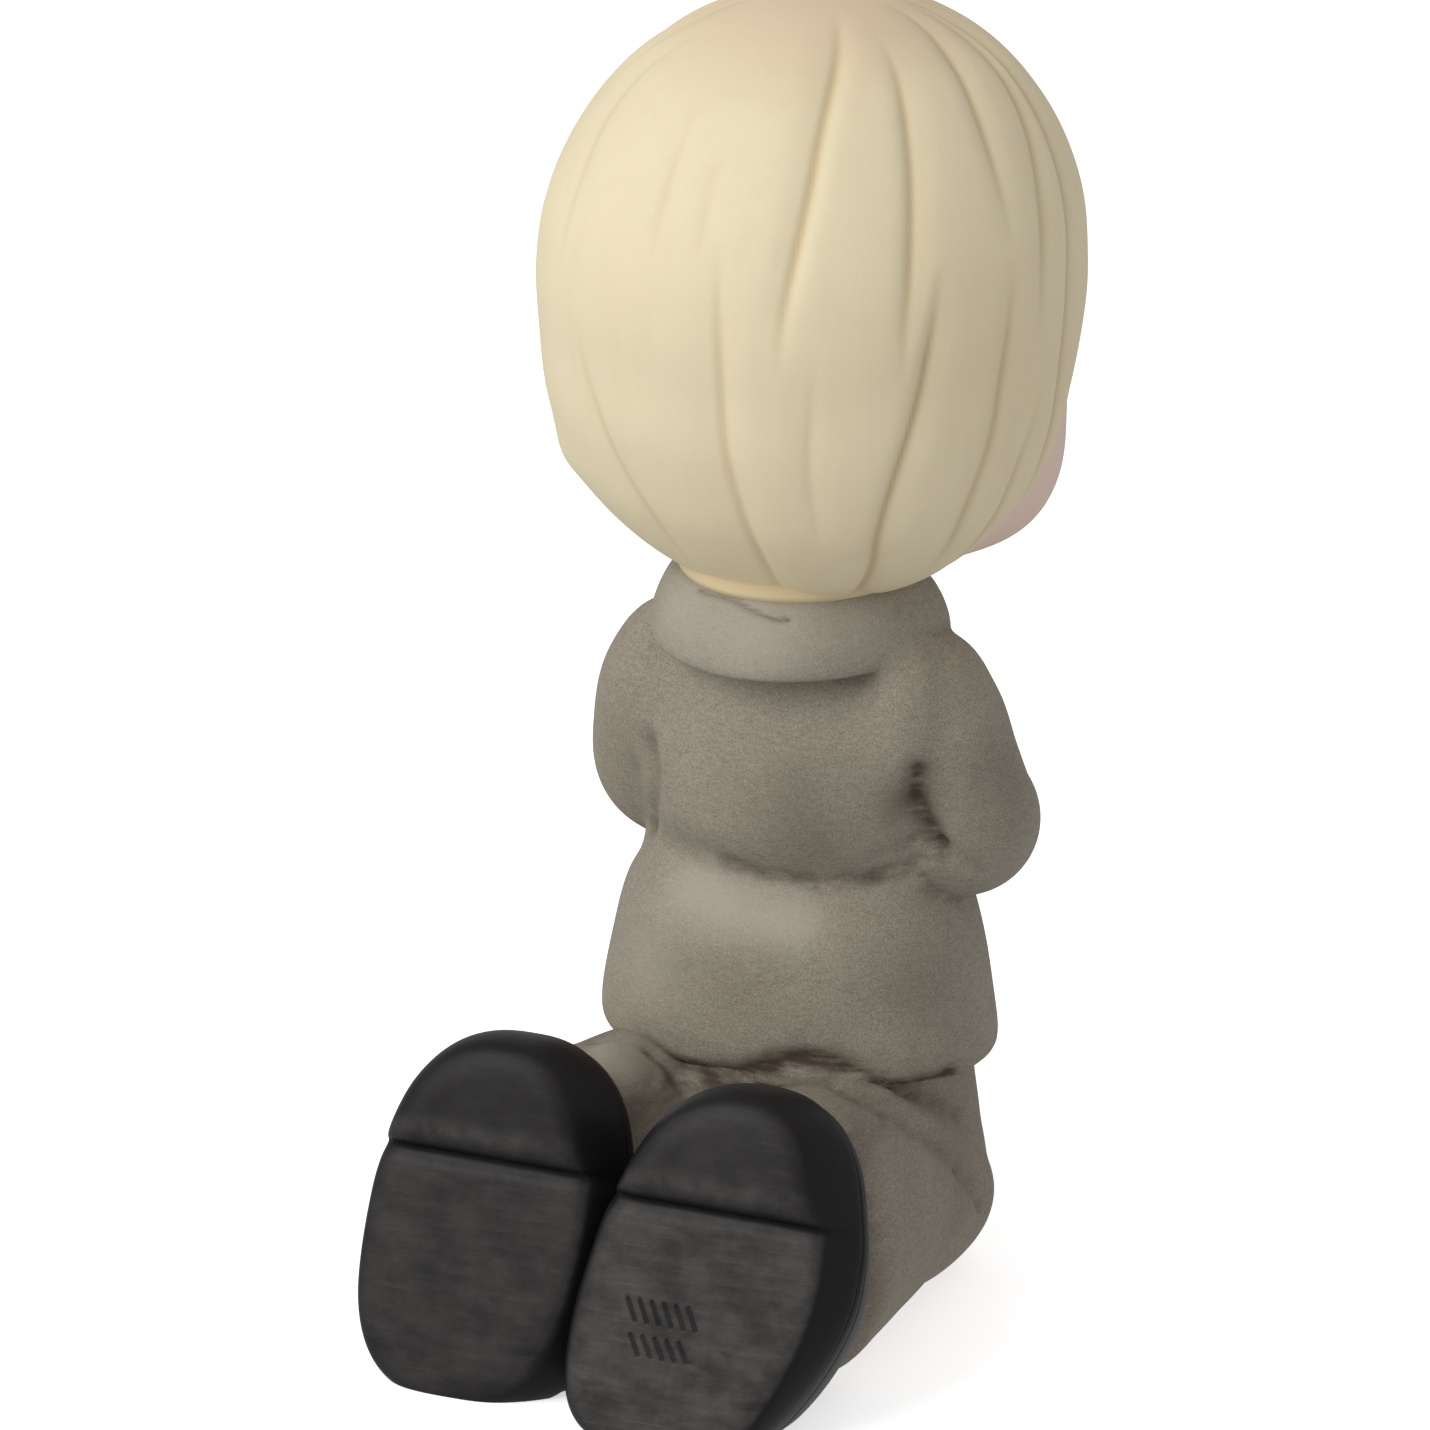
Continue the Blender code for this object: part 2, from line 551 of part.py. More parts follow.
def nape():
    """The ends of the hair on the nape, drawn in to the collar with a low rounded lip above it."""
    sections = [
        (1.6, 0.0, 0.0),
        (1.8, 9.0, 10.4),
        (2.9, 11.0, 12.3),
        (3.7, 11.4, 13.1),
        (5.0, 11.3, 12.8),
        (6.4, 11.9, 13.3),
        (8.8, 13.6, 14.6),
        (9.2, 0.0, 0.0),
    ]
    stations = [(NECK_ROOT + above, wide, 0.6 * wide, back, -0.5, 2.0) for above, wide, back in sections]
    return upright("nape", 40, 96, stations)


def fuse(forms, name):
    """All the forms as one closed body, through a fine grid that rounds the inner corners as slip does."""
    bm = bmesh.new()
    for form in forms:
        bm.from_mesh(form.data)
        bpy.data.objects.remove(form)
    whole = finished(name, bm)
    grid = whole.modifiers.new("grid", "REMESH")
    grid.mode = "VOXEL"
    grid.voxel_size = VOXEL * MM
    even = whole.modifiers.new("even", "SMOOTH")
    even.iterations = 3
    return whole


def applied(form):
    """The form with its modifiers made part of its mesh."""
    graph = bpy.context.evaluated_depsgraph_get()
    mesh = bpy.data.meshes.new_from_object(form.evaluated_get(graph))
    form.modifiers.clear()
    form.data = mesh
    return form


def fill_hollows(form, places, rounds):
    """Raises only what lies hollow within reach of each place, so that one form runs into the next."""
    bm = bmesh.new()
    bm.from_mesh(form.data)
    near = []
    for vert in bm.verts:
        share = max((reach - (vert.co / MM - Vector(centre)).length) / (0.4 * reach) for centre, reach in places)
        if share > 0.0:
            near.append((vert, min(share, 1.0), [edge.other_vert(vert) for edge in vert.link_edges]))
    for _ in range(rounds):
        bm.normal_update()
        lifts = []
        for vert, share, around in near:
            middle = sum((other.co for other in around), Vector()) / len(around)
            lifts.append(share * max((middle - vert.co).dot(vert.normal), 0.0))
        for (vert, _, _), lift in zip(near, lifts):
            vert.co += vert.normal * lift
    bm.to_mesh(form.data)
    bm.free()


def stand_on_floor(form):
    """Cuts the underside flat at floor level and moves the origin under the middle of the figure."""
    bm = bmesh.new()
    bm.from_mesh(form.data)
    cut = bmesh.ops.bisect_plane(
        bm, geom=list(bm.verts) + list(bm.edges) + list(bm.faces), plane_co=(0, 0, 0), plane_no=(0, 0, 1),
        clear_inner=True, dist=1e-6,
    )
    rim = [part for part in cut["geom_cut"] if isinstance(part, bmesh.types.BMEdge)]
    bmesh.ops.triangle_fill(bm, edges=rim, use_beauty=True)
    bmesh.ops.recalc_face_normals(bm, faces=bm.faces)
    spots = [vert.co for vert in bm.verts]
    middle = Vector(((min(p.x for p in spots) + max(p.x for p in spots)) / 2,
                     (min(p.y for p in spots) + max(p.y for p in spots)) / 2, 0))
    bmesh.ops.translate(bm, verts=bm.verts, vec=-middle)
    bm.to_mesh(form.data)
    bm.free()


def painted(form, name, colour, roughness):
    """Gives the form one plain surface of that colour."""
    surface = bpy.data.materials.new(name)
    surface.use_nodes = True
    shader = surface.node_tree.nodes["Principled BSDF"]
    shader.inputs["Base Color"].default_value = (*colour, 1.0)
    shader.inputs["Roughness"].default_value = roughness
    form.data.materials.clear()
    form.data.materials.append(surface)


def figurine():
    forms = [jacket(), collar(), neck(), face(), hair(), nape(), seat()]
    for side in (1, -1):
        forms += [shoulder_blade(side), sleeve(side), hand(side), thigh(side), lower_leg(side), shoe(side)]
    whole = applied(fuse(forms, "figurine"))
    fill_hollows(whole, SHOULDERS, 70)
    fill_hollows(whole, ELBOWS, 8)
    fewer = whole.modifiers.new("fewer", "DECIMATE")
    fewer.ratio = TRIANGLES / (2 * len(whole.data.polygons))
    applied(whole)
    stand_on_floor(whole)
    painted(whole, "bisque", (0.27, 0.24, 0.19), 0.85)
    return whole


def main():
    for old in list(bpy.data.objects):
        bpy.data.objects.remove(old)
    figurine()


main()
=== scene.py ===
import functools
import math

import bmesh
import bpy
import numpy as np
from mathutils import Matrix, Vector


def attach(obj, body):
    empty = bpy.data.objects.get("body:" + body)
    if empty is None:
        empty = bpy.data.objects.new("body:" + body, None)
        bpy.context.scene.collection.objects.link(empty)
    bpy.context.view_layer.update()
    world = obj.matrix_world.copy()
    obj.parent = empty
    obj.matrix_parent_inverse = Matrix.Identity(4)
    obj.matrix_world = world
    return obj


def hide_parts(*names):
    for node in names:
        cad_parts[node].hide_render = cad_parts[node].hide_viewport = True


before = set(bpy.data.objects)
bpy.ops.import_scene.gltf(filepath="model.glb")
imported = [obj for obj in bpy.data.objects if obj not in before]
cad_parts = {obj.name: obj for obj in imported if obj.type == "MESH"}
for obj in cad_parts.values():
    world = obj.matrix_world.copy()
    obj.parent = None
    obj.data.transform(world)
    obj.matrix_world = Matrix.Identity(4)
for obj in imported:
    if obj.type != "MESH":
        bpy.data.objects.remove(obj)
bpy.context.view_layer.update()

# The view. The boy is seen from behind and a little from his right, from slightly above, through a long
# lens. He kneels on a plain white table top, under one large soft lamp on the left and a pale room.
MM = 0.001
CASTING_MIDDLE = Vector((-0.05, 8.86, 0.0))  # everything is laid out from the middle of the chest
VIEW_TURN = math.radians(209.0)
VIEW_RISE = math.radians(22.0)
VIEW_AIM = Vector((3.77, 9.9, 57.8))
VIEW_DISTANCE = 1000.0
VIEW_WIDTH = 131.8

view_right = Vector((math.cos(VIEW_TURN), math.sin(VIEW_TURN), 0.0))
level = math.cos(VIEW_RISE)
view_back = Vector((level * math.sin(VIEW_TURN), -level * math.cos(VIEW_TURN), math.sin(VIEW_RISE)))
view_up = view_back.cross(view_right)


def placed(thing, right, up, back, spot):
    """Puts a lamp or camera that looks along -back at a spot in millimetres."""
    turned = Matrix((right, up, back)).transposed().to_4x4()
    thing.matrix_world = Matrix.Translation((spot - CASTING_MIDDLE) * MM) @ turned
    bpy.context.scene.collection.objects.link(thing)


lens = bpy.data.cameras.new("view")
lens.sensor_width = 36.0
lens.lens = 36.0 * VIEW_DISTANCE / VIEW_WIDTH
lens.clip_start = 0.05
lens.clip_end = 20.0
camera = bpy.data.objects.new("view", lens)
placed(camera, view_right, view_up, view_back, VIEW_AIM + view_back * VIEW_DISTANCE)
bpy.context.scene.camera = camera


def lamp(name, aside, above, ahead, size, power, colour):
    """A square soft lamp that looks at the figure, its place measured in the view's own directions."""
    light = bpy.data.lights.new(name, "AREA")
    light.size = size * MM
    light.energy = power
    light.color = colour
    away = (view_right * aside + view_up * above + view_back * ahead).normalized()
    right = Vector((0, 0, 1)).cross(away).normalized()
    spot = Vector((0, 5, 60)) + away * math.sqrt(aside**2 + above**2 + ahead**2)
    placed(bpy.data.objects.new(name, light), right, away.cross(right), away, spot)


lamp("key", -680, 360, 660, 640, 5.6, (1.0, 0.99, 0.97))

room = bpy.data.worlds.new("room")
room.use_nodes = True
room.node_tree.nodes["Background"].inputs["Color"].default_value = (1.0, 0.99, 1.0, 1.0)
room.node_tree.nodes["Background"].inputs["Strength"].default_value = 0.56
bpy.context.scene.world = room
bpy.context.scene.view_settings.view_transform = "Standard"
bpy.context.scene.view_settings.look = "None"

table = bmesh.new()
bmesh.ops.create_grid(table, x_segments=2, y_segments=2, size=6.0)
table_mesh = bpy.data.meshes.new("table_top")
table.to_mesh(table_mesh)
table.free()
table_top = bpy.data.objects.new("table_top", table_mesh)
bpy.context.scene.collection.objects.link(table_top)
table_white = bpy.data.materials.new("table_white")
table_white.use_nodes = True
table_shader = table_white.node_tree.nodes["Principled BSDF"]
table_shader.inputs["Base Color"].default_value = (0.93, 0.93, 0.93, 1.0)
table_shader.inputs["Roughness"].default_value = 0.9
table_shader.inputs["Specular IOR Level"].default_value = 0.1
table_shader.inputs["Emission Color"].default_value = (1.0, 1.0, 1.0, 1.0)
table_shader.inputs["Emission Strength"].default_value = 0.60
table_mesh.materials.append(table_white)
table_top.visible_diffuse = False
table_top.visible_glossy = False

# Trousers. Both legs of the suit, knees forward and lower legs flat behind, are part of the one porcelain
# casting. The body is fired twice without glaze, coloured a warm grey, and a thin brown wash is wiped off
# it, which stays in the hollows. The hollows, a band under the jacket's hem and the end of the right cuff
# by its shoe are painted darker still, as painted shade. Every form starts as a ball whose rings are
# pulled to the leg's sections.
KNEE_SPACING = 9.0
CUFF_SPACING = 11.2
LEG_HALF_WIDTH = 10.0
LEG_HALF_HEIGHT = 13.2
LEG_AXIS_HEIGHT = 12.4
KNEE_FRONT = 10.5
CUFF_BACK = 24.5
HEM_HEIGHT = 23.6


def mix(first, last, share):
    return first + (last - first) * share


def step(low, high, value):
    """0 below low, 1 above high, and a smooth rise between them."""
    share = min(max((value - low) / (high - low), 0.0), 1.0)
    return share * share * (3.0 - 2.0 * share)


def bump(distance, reach):
    """1 at no distance, falling smoothly towards 0 at about twice the reach."""
    return math.exp(-((distance / reach) ** 2))


def along(stations, share):
    """The values at that share of the way down a list of stations, on a smooth curve through them all."""
    spot = share * (len(stations) - 1)
    first = min(int(spot), len(stations) - 2)
    t = spot - first
    near = [stations[min(max(first + k, 0), len(stations) - 1)] for k in (-1, 0, 1, 2)]
    return [
        0.5 * (2 * b + (c - a) * t + (2 * a - 5 * b + 4 * c - d) * t**2 + (3 * b - a - 3 * c + d) * t**3)
        for a, b, c, d in zip(*near)
    ]


def finished(name, bm):
    bmesh.ops.recalc_face_normals(bm, faces=bm.faces)
    mesh = bpy.data.meshes.new(name)
    bm.to_mesh(mesh)
    bm.free()
    form = bpy.data.objects.new(name, mesh)
    bpy.context.scene.collection.objects.link(form)
    return form


def ball(name, rings, sides, place):
    """A closed form: each point of a ball goes to place(share, turn), share running from its bottom pole
    to its top pole and turn round it."""
    bm = bmesh.new()
    bmesh.ops.create_uvsphere(bm, u_segments=sides, v_segments=rings, radius=1.0)
    for vert in bm.verts:
        share = round(math.acos(min(max(-vert.co.z, -1.0), 1.0)) / math.pi, 5)
        turn = math.atan2(vert.co.y, vert.co.x)
        vert.co = Vector(place(share, turn)) * MM
    return finished(name, bm)


def limb(name, rings, sides, stations, over, side=1, relief=None):
    """A form of rings threaded on a bent line. A station is (x, y, z, half width, half height), over is the
    direction its height is measured in, and side is -1 for the mirrored limb."""

    @functools.cache
    def ring(share):
        *centre, across, tall = along(stations, share)
        before = Vector(along(stations, max(share - 0.02, 0.0))[:3])
        after = Vector(along(stations, min(share + 0.02, 1.0))[:3])
        run = (after - before).normalized()
        sideways = run.cross(Vector(over)).normalized()
        return centre, across, tall, sideways, sideways.cross(run)

    def place(share, turn):
        centre, across, tall, sideways, up = ring(share)
        swell = relief(share, turn) if relief else 0.0
        aside = sideways * (across + swell) * math.cos(turn)
        point = Vector(centre) + aside + up * (tall + swell) * math.sin(turn)
        point.x *= side
        return point

    return ball(name, rings, sides, place)


def lump(name, centre, half_sizes):
    """A plain rounded filling between two forms."""

    def place(share, turn):
        wide = math.sin(math.pi * share)
        unit = (wide * math.cos(turn), wide * math.sin(turn), -math.cos(math.pi * share))
        return [middle + half * along_it for middle, half, along_it in zip(centre, half_sizes, unit)]

    return ball(name, 48, 48, place)


def joined(name, forms):
    """All the forms as one piece, each still whole."""
    bm = bmesh.new()
    for form in forms:
        bm.from_mesh(form.data)
        bpy.data.objects.remove(form)
    return finished(name, bm)


def fused(name, forms, grain, rounds):
    """All the forms as one closed body, through a fine grid, with the grid's steps evened out."""
    whole = joined(name, forms)
    grid = whole.modifiers.new("grid", "REMESH")
    grid.mode = "VOXEL"
    grid.voxel_size = grain * MM
    even = whole.modifiers.new("even", "SMOOTH")
    even.iterations = rounds
    graph = bpy.context.evaluated_depsgraph_get()
    mesh = bpy.data.meshes.new_from_object(whole.evaluated_get(graph))
    whole.modifiers.clear()
    whole.data = mesh
    return whole


def cut_flat(piece):
    """Cuts the piece off at table height and closes it with a flat underside."""
    bm = bmesh.new()
    bm.from_mesh(piece.data)
    everything = list(bm.verts) + list(bm.edges) + list(bm.faces)
    cut = bmesh.ops.bisect_plane(
        bm, geom=everything, plane_co=(0, 0, 0), plane_no=(0, 0, 1), clear_inner=True, dist=1e-7,
    )
    rim = [part for part in cut["geom_cut"] if isinstance(part, bmesh.types.BMEdge)]
    bmesh.ops.triangle_fill(bm, edges=rim, use_beauty=True)
    bmesh.ops.recalc_face_normals(bm, faces=bm.faces)
    bm.to_mesh(piece.data)
    bm.free()


def surface_of(piece):
    """The points of a piece in millimetres, and which way the surface faces at each."""
    count = len(piece.data.vertices)
    points, facing = np.empty(count * 3), np.empty(count * 3)
    piece.data.vertices.foreach_get("co", points)
    piece.data.vertex_normals.foreach_get("vector", facing)
    return points.reshape(-1, 3) / MM, facing.reshape(-1, 3)


def beside(points, line):
    """How far each point lies from a bent line."""
    least = np.full(len(points), 1e9)
    for start, end in zip(line, line[1:]):
        start, run = np.array(start), np.array(end) - np.array(start)
        share = np.clip((points - start) @ run / max(run @ run, 1e-9), 0.0, 1.0)
        least = np.minimum(least, np.linalg.norm(points - start - share[:, None] * run, axis=1))
    return least


def on_surface(points, facing, line):
    """The bent line laid on the side of the surface that the view shows: points a millimetre apart along it,
    each moved straight towards or away from the viewer until it meets the surface."""
    ahead = np.array(view_back)
    shown = points[facing @ ahead > 0.05]
    laid = []
    for start, end in zip(line, line[1:]):
        start, end = np.array(start), np.array(end)
        for share in np.linspace(0.0, 1.0, 1 + max(int(np.linalg.norm(end - start)), 1)):
            away = shown - mix(start, end, share)
            along_view = away @ ahead
            aside = np.linalg.norm(away - along_view[:, None] * ahead, axis=1)
            laid.append(shown[np.argmin(aside + 0.03 * np.abs(along_view))])
    return laid


def carve(piece, creases):
    """Presses creases into a piece. A crease is (line, depth, half width), and a depth below 0 raises it."""
    points, facing = surface_of(piece)
    cut = np.zeros(len(points))
    for line, depth, half in creases:
        cut += depth * np.exp(-((beside(points, on_surface(points, facing, line)) / half) ** 2))
    piece.data.vertices.foreach_set("co", ((points - facing * cut[:, None]) * MM).ravel())
    piece.data.update()


def neighbours(piece):
    """Both ends of every edge of the piece, and how many edges meet at each point."""
    ends = np.empty(len(piece.data.edges) * 2, int)
    piece.data.edges.foreach_get("vertices", ends)
    return ends[0::2], ends[1::2], np.bincount(ends, minlength=len(piece.data.vertices))


def averaged(points, first, second, meeting):
    """For each point, the middle of the points that are joined to it."""
    columns = []
    for axis in range(3):
        there, here = points[second, axis], points[first, axis]
        total = np.bincount(first, there, len(points)) + np.bincount(second, here, len(points))
        columns.append(total / meeting)
    return np.stack(columns, axis=1)


def hollows(piece, rounds):
    """How deep each point lies in a hollow, in millimetres below the same surface evened out."""
    points, facing = surface_of(piece)
    links = neighbours(piece)
    even = points.copy()
    for _ in range(rounds):
        even = mix(even, averaged(even, *links), 0.5)
    return np.einsum("ij,ij->i", even - points, facing)


def fill_hollows(piece, places, rounds):
    """Raises only what lies hollow within reach of each place, so that one form runs into the next."""
    links = neighbours(piece)
    points, facing = surface_of(piece)
    share = np.zeros(len(points))
    for centre, reach in places:
        away = np.linalg.norm(points - np.array(centre), axis=1)
        share = np.maximum(share, np.clip((reach - away) / (0.4 * reach), 0.0, 1.0))
    for _ in range(rounds):
        lift = np.einsum("ij,ij->i", averaged(points, *links) - points, facing)
        points += facing * (np.maximum(lift, 0.0) * share)[:, None]
        piece.data.vertices.foreach_set("co", (points * MM).ravel())
        piece.data.update()
        points, facing = surface_of(piece)


def painted(piece, name, values):
    """Keeps one number for each point of the piece, for its paint to read."""
    layer = piece.data.attributes.new(name, "FLOAT", "POINT")
    layer.data.foreach_set("value", np.clip(values, 0.0, 1.0))


def paint(name, roughness):
    """A new paint. Gives its node tree and its shader."""
    colour = bpy.data.materials.new(name)
    colour.use_nodes = True
    shader = colour.node_tree.nodes["Principled BSDF"]
    shader.inputs["Roughness"].default_value = roughness
    return colour, colour.node_tree, shader


def node(tree, kind, settings=None, **inputs):
    """Adds a node. An input is joined where it is given another node's output, and set where it isn't."""
    added = tree.nodes.new("ShaderNode" + kind)
    for key, value in (settings or {}).items():
        setattr(added, key, value)
    for key, value in inputs.items():
        numbered = key[0] == "i" and key[1:].isdigit()
        socket = added.inputs[int(key[1:]) if numbered else key.replace("_", " ")]
        if isinstance(value, bpy.types.NodeSocket):
            tree.links.new(value, socket)
        else:
            socket.default_value = value
    return added


def sums(tree, operation, first, second=0.0):
    return node(tree, "Math", {"operation": operation}, i0=first, i1=second).outputs[0]


def between(tree, value, low, high):
    """0 where the value is at low, 1 where it is at high."""
    smooth = {"interpolation_type": "SMOOTHSTEP"}
    return node(tree, "MapRange", smooth, Value=value, From_Min=low, From_Max=high).outputs[0]


def over(tree, share, under, colour):
    """Lays a colour over another by that share."""
    if isinstance(colour, tuple):
        colour = (*colour, 1.0)
    if isinstance(under, tuple):
        under = (*under, 1.0)
    return node(tree, "Mix", {"data_type": "RGBA"}, i0=share, i6=under, i7=colour).outputs[2]


def partly(tree, share, most, under, colour):
    """Lays a colour over another by a share that is scaled down to at most this much."""
    return over(tree, sums(tree, "MULTIPLY", share, most), under, colour)


def kept(tree, name):
    return node(tree, "Attribute", {"attribute_name": name}).outputs["Fac"]


def cloud(tree, scale, detail=2.0, where=None, rough=0.5):
    """Soft uneven patches, with about scale of them to a metre."""
    where = where or node(tree, "TexCoord").outputs["Object"]
    return node(tree, "TexNoise", Vector=where, Scale=scale, Detail=detail, Roughness=rough).outputs[0]


def roughened(tree, shader, height, depth):
    """Gives the paint's surface a fine unevenness, depth millimetres deep."""
    lifted = node(tree, "Bump", Height=height, Distance=depth * MM, Strength=1.0)
    tree.links.new(lifted.outputs[0], shader.inputs["Normal"])


def suit_paint(name, light, dark):
    """Matt warm grey with a fine grain and a few pinholes. A brown wash is left in the hollows, with painted
    shade in the folds and under the hem, and broad patches are painted lighter or darker as painted light
    and painted shade, as the attribute tone says."""
    colour, tree, shader = paint(name, 0.86)
    shader.inputs["Specular IOR Level"].default_value = 0.22
    where = node(tree, "TexCoord").outputs["Object"]
    patches = between(tree, cloud(tree, 110.0, 4.0, rough=0.6), 0.3, 0.7)
    grain = cloud(tree, 6000.0, 2.0, rough=0.65)
    threads = node(tree, "Mapping", Vector=where, Scale=(900.0, 900.0, 2400.0)).outputs[0]
    weave = cloud(tree, 1.0, 3.0, threads, 0.6)
    ground = partly(tree, patches, 0.30, light, dark)
    ground = partly(tree, between(tree, weave, 0.42, 0.66), 0.32, ground, dark)
    ground = partly(tree, between(tree, grain, 0.50, 0.68), 0.75, ground, dark)
    ground = partly(tree, between(tree, grain, 0.49, 0.32), 0.42, ground, (0.47, 0.44, 0.37))
    # The attribute tone lays painted light and painted shade: lighter where the suit faces up or towards the
    # lamp, darker where it faces down, turns away or lies under a fold.
    tone = kept(tree, "tone")
    ground = partly(tree, between(tree, tone, 0.5, 0.0), 0.85, ground, (0.115, 0.097, 0.072))
    ground = partly(tree, between(tree, tone, 0.5, 1.0), 0.85, ground, (0.46, 0.425, 0.36))
    ground = over(tree, kept(tree, "shirt"), ground, (0.60, 0.56, 0.46))
    laid_unevenly = node(tree, "Mapping", Vector=where, Scale=(230.0, 230.0, 800.0)).outputs[0]
    uneven = between(tree, cloud(tree, 1.0, 4.0, laid_unevenly, 0.6), 0.22, 0.60)
    # The brown wash, and painted shade in the hollows, the folds and under the hem, laid unevenly.
    ground = partly(tree, kept(tree, "wash_and_painted_shade"), uneven, ground, (0.068, 0.050, 0.037))
    for pitch, size, share in ((170.0, 0.028, 0.74), (420.0, 0.060, 0.88)):
        pinholes = node(tree, "TexVoronoi", Vector=where, Scale=pitch)
        chance = node(tree, "SeparateColor", Color=pinholes.outputs["Color"]).outputs[0]
        chosen = between(tree, chance, share, share + 0.01)
        hole = sums(tree, "MULTIPLY", between(tree, pinholes.outputs["Distance"], size, 0.5 * size), chosen)
        ground = partly(tree, hole, 0.75, ground, (0.04, 0.03, 0.025))
    tree.links.new(ground, shader.inputs["Base Color"])
    roughened(tree, shader, grain, 0.05)
    return colour


def painted_light_and_shade(piece, patches):
    """Painted light and painted shade: where the suit is painted lighter (above a half) or darker.
    A patch is (place, reach, change).
    """
    points, _ = surface_of(piece)
    tone = np.full(len(points), 0.5)
    for place, reach, change in patches:
        tone += change * np.exp(-((np.linalg.norm(points - np.array(place), axis=1) / reach) ** 2))
    painted(piece, "tone", tone)


def into_place(piece, colour):
    """Paints the piece, stands it over the middle of the casting and makes it part of the figurine."""
    piece.data.materials.clear()
    piece.data.materials.append(colour)
    piece.data.transform(Matrix.Translation(-CASTING_MIDDLE * MM))
    piece.data.shade_smooth()
    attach(piece, "root")
    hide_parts("figurine")


legs = [lump("seat", (0.0, 8.5, HEM_HEIGHT - 4.0), (KNEE_SPACING, 7.5, 9.0))]
for side in (1, -1):
    width, tall, axis = LEG_HALF_WIDTH, LEG_HALF_HEIGHT, LEG_AXIS_HEIGHT
    knee, cuff = KNEE_SPACING, CUFF_SPACING
    thigh = [
        (knee, 3.5 - KNEE_FRONT, 4.0, 0.0, 0.0),
        (knee, 4.5 - KNEE_FRONT, 6.5, 6.8, 6.0),
        (knee - 0.3, 7.5 - KNEE_FRONT, 13.0, 7.8, 9.0),
        (knee - 0.8, 10.0 - KNEE_FRONT, 19.5, 8.6, 10.0),
        (knee - 1.2, 11.5 - KNEE_FRONT, HEM_HEIGHT + 3.0, 8.8, 10.5),
        (knee - 1.6, 12.0 - KNEE_FRONT, HEM_HEIGHT + 8.0, 0.0, 0.0),
    ]
    calf = [
        (knee, -KNEE_FRONT, axis - 5.8, 0.0, 0.0),
        (knee, -KNEE_FRONT + 0.8, axis - 5.8, 0.52 * width, 0.34 * tall),
        (knee, -KNEE_FRONT + 3.5, axis - 5.4, 0.80 * width, 0.54 * tall),
        (knee, -KNEE_FRONT + 8.5, axis - 4.4, 0.88 * width, 0.72 * tall),
        (mix(knee, cuff, 0.35), 5.0, axis - 1.0, 0.96 * width, 0.90 * tall),
        (mix(knee, cuff, 0.60), 11.5, axis, 0.98 * width, 0.98 * tall),
        (mix(knee, cuff, 0.85), 18.0, axis + 0.4, 1.01 * width, 1.02 * tall),
        (cuff, CUFF_BACK - 2.0, axis + 0.8, 1.05 * width, 1.05 * tall),
        (cuff, CUFF_BACK + 0.5, axis + 0.8, width, tall),
        (cuff, CUFF_BACK + 2.5, axis + 0.8, 0.88 * width, 0.86 * tall),
        (cuff, CUFF_BACK + 3.5, axis + 0.8, 0.62 * width, 0.60 * tall),
        (cuff, CUFF_BACK + 3.7, axis + 0.8, 0.0, 0.0),
    ]
    legs.append(limb("thigh", 64, 64, thigh, (0, 1, 0), side))
    legs.append(limb("calf", 96, 72, calf, (0, 0, 1), side))
trousers = fused("trousers", legs, 0.45, 8)
cut_flat(trousers)
right_knee_fold = [
    (-12.1, 14.9, 25.8), (-15.5, 13.4, 23.9), (-18.0, 9.6, 20.1), (-18.9, 5.0, 16.0), (-18.5, -0.6, 11.6),
]
trouser_creases = [
    (right_knee_fold, 0.7, 1.4),
    ([(-19.1, 3.4, 13.8), (-18.7, 0.4, 11.0), (-18.0, -2.4, 7.9)], 0.55, 1.0),
    ([(-15.0, 11.0, 24.0), (-17.2, 8.6, 21.2), (-18.4, 5.6, 18.4)], -0.45, 1.3),
    ([(12.1, 14.9, 25.8), (15.5, 13.4, 23.9), (18.0, 9.6, 20.1), (18.9, 5.0, 16.0)], 0.5, 1.5),
    ([(7.7, 15.3, 25.3), (5.7, 15.6, 24.2), (3.9, 15.7, 22.4)], 0.5, 0.8),
    ([(9.0, -13.6, 12.0), (3.0, -10.5, 15.0)], 0.3, 1.0),
    ([(-9.0, -13.6, 12.0), (-3.0, -10.5, 15.0)], 0.3, 1.0),
]
carve(trousers, trouser_creases)
points, facing = surface_of(trousers)
# The brown wash and painted shade in the hollows; then painted shade in a band under the jacket's hem, and
# at the end of the right cuff, where it meets the shoe.
wash_and_painted_shade = 2.4 * np.maximum(hollows(trousers, 12) - 0.02, 0.0)
below_hem = np.exp(-(((points[:, 2] - HEM_HEIGHT - 0.4) / 1.9) ** 2)) * (points[:, 1] > 6.0)
wash_and_painted_shade += below_hem * np.interp(points[:, 0], (-14.0, -10.0, 2.0, 6.0), (0.3, 1.0, 1.0, 0.4))
wash_and_painted_shade += 0.36 * np.exp(-(((points[:, 1] - 25.5) / 3.0) ** 2)) * (points[:, 0] < 0)
painted(trousers, "wash_and_painted_shade", wash_and_painted_shade)
# Painted light and painted shade on the trousers: darker on the boy's right, away from the lamp, and lighter
# on his left, towards it.
laid_unevenly = [((-19.0, 2.0, 15.0), 9.0, -0.20), ((-16.0, 20.0, 20.0), 5.0, 0.10), ((9.0, 20.0, 25.0), 6.5, 0.32)]
painted_light_and_shade(trousers, laid_unevenly)
# The trousers take the suit's grey a little darker than the jacket does, as painted shade.
into_place(trousers, suit_paint("suit_paint", (0.296, 0.264, 0.209), (0.174, 0.149, 0.114)))

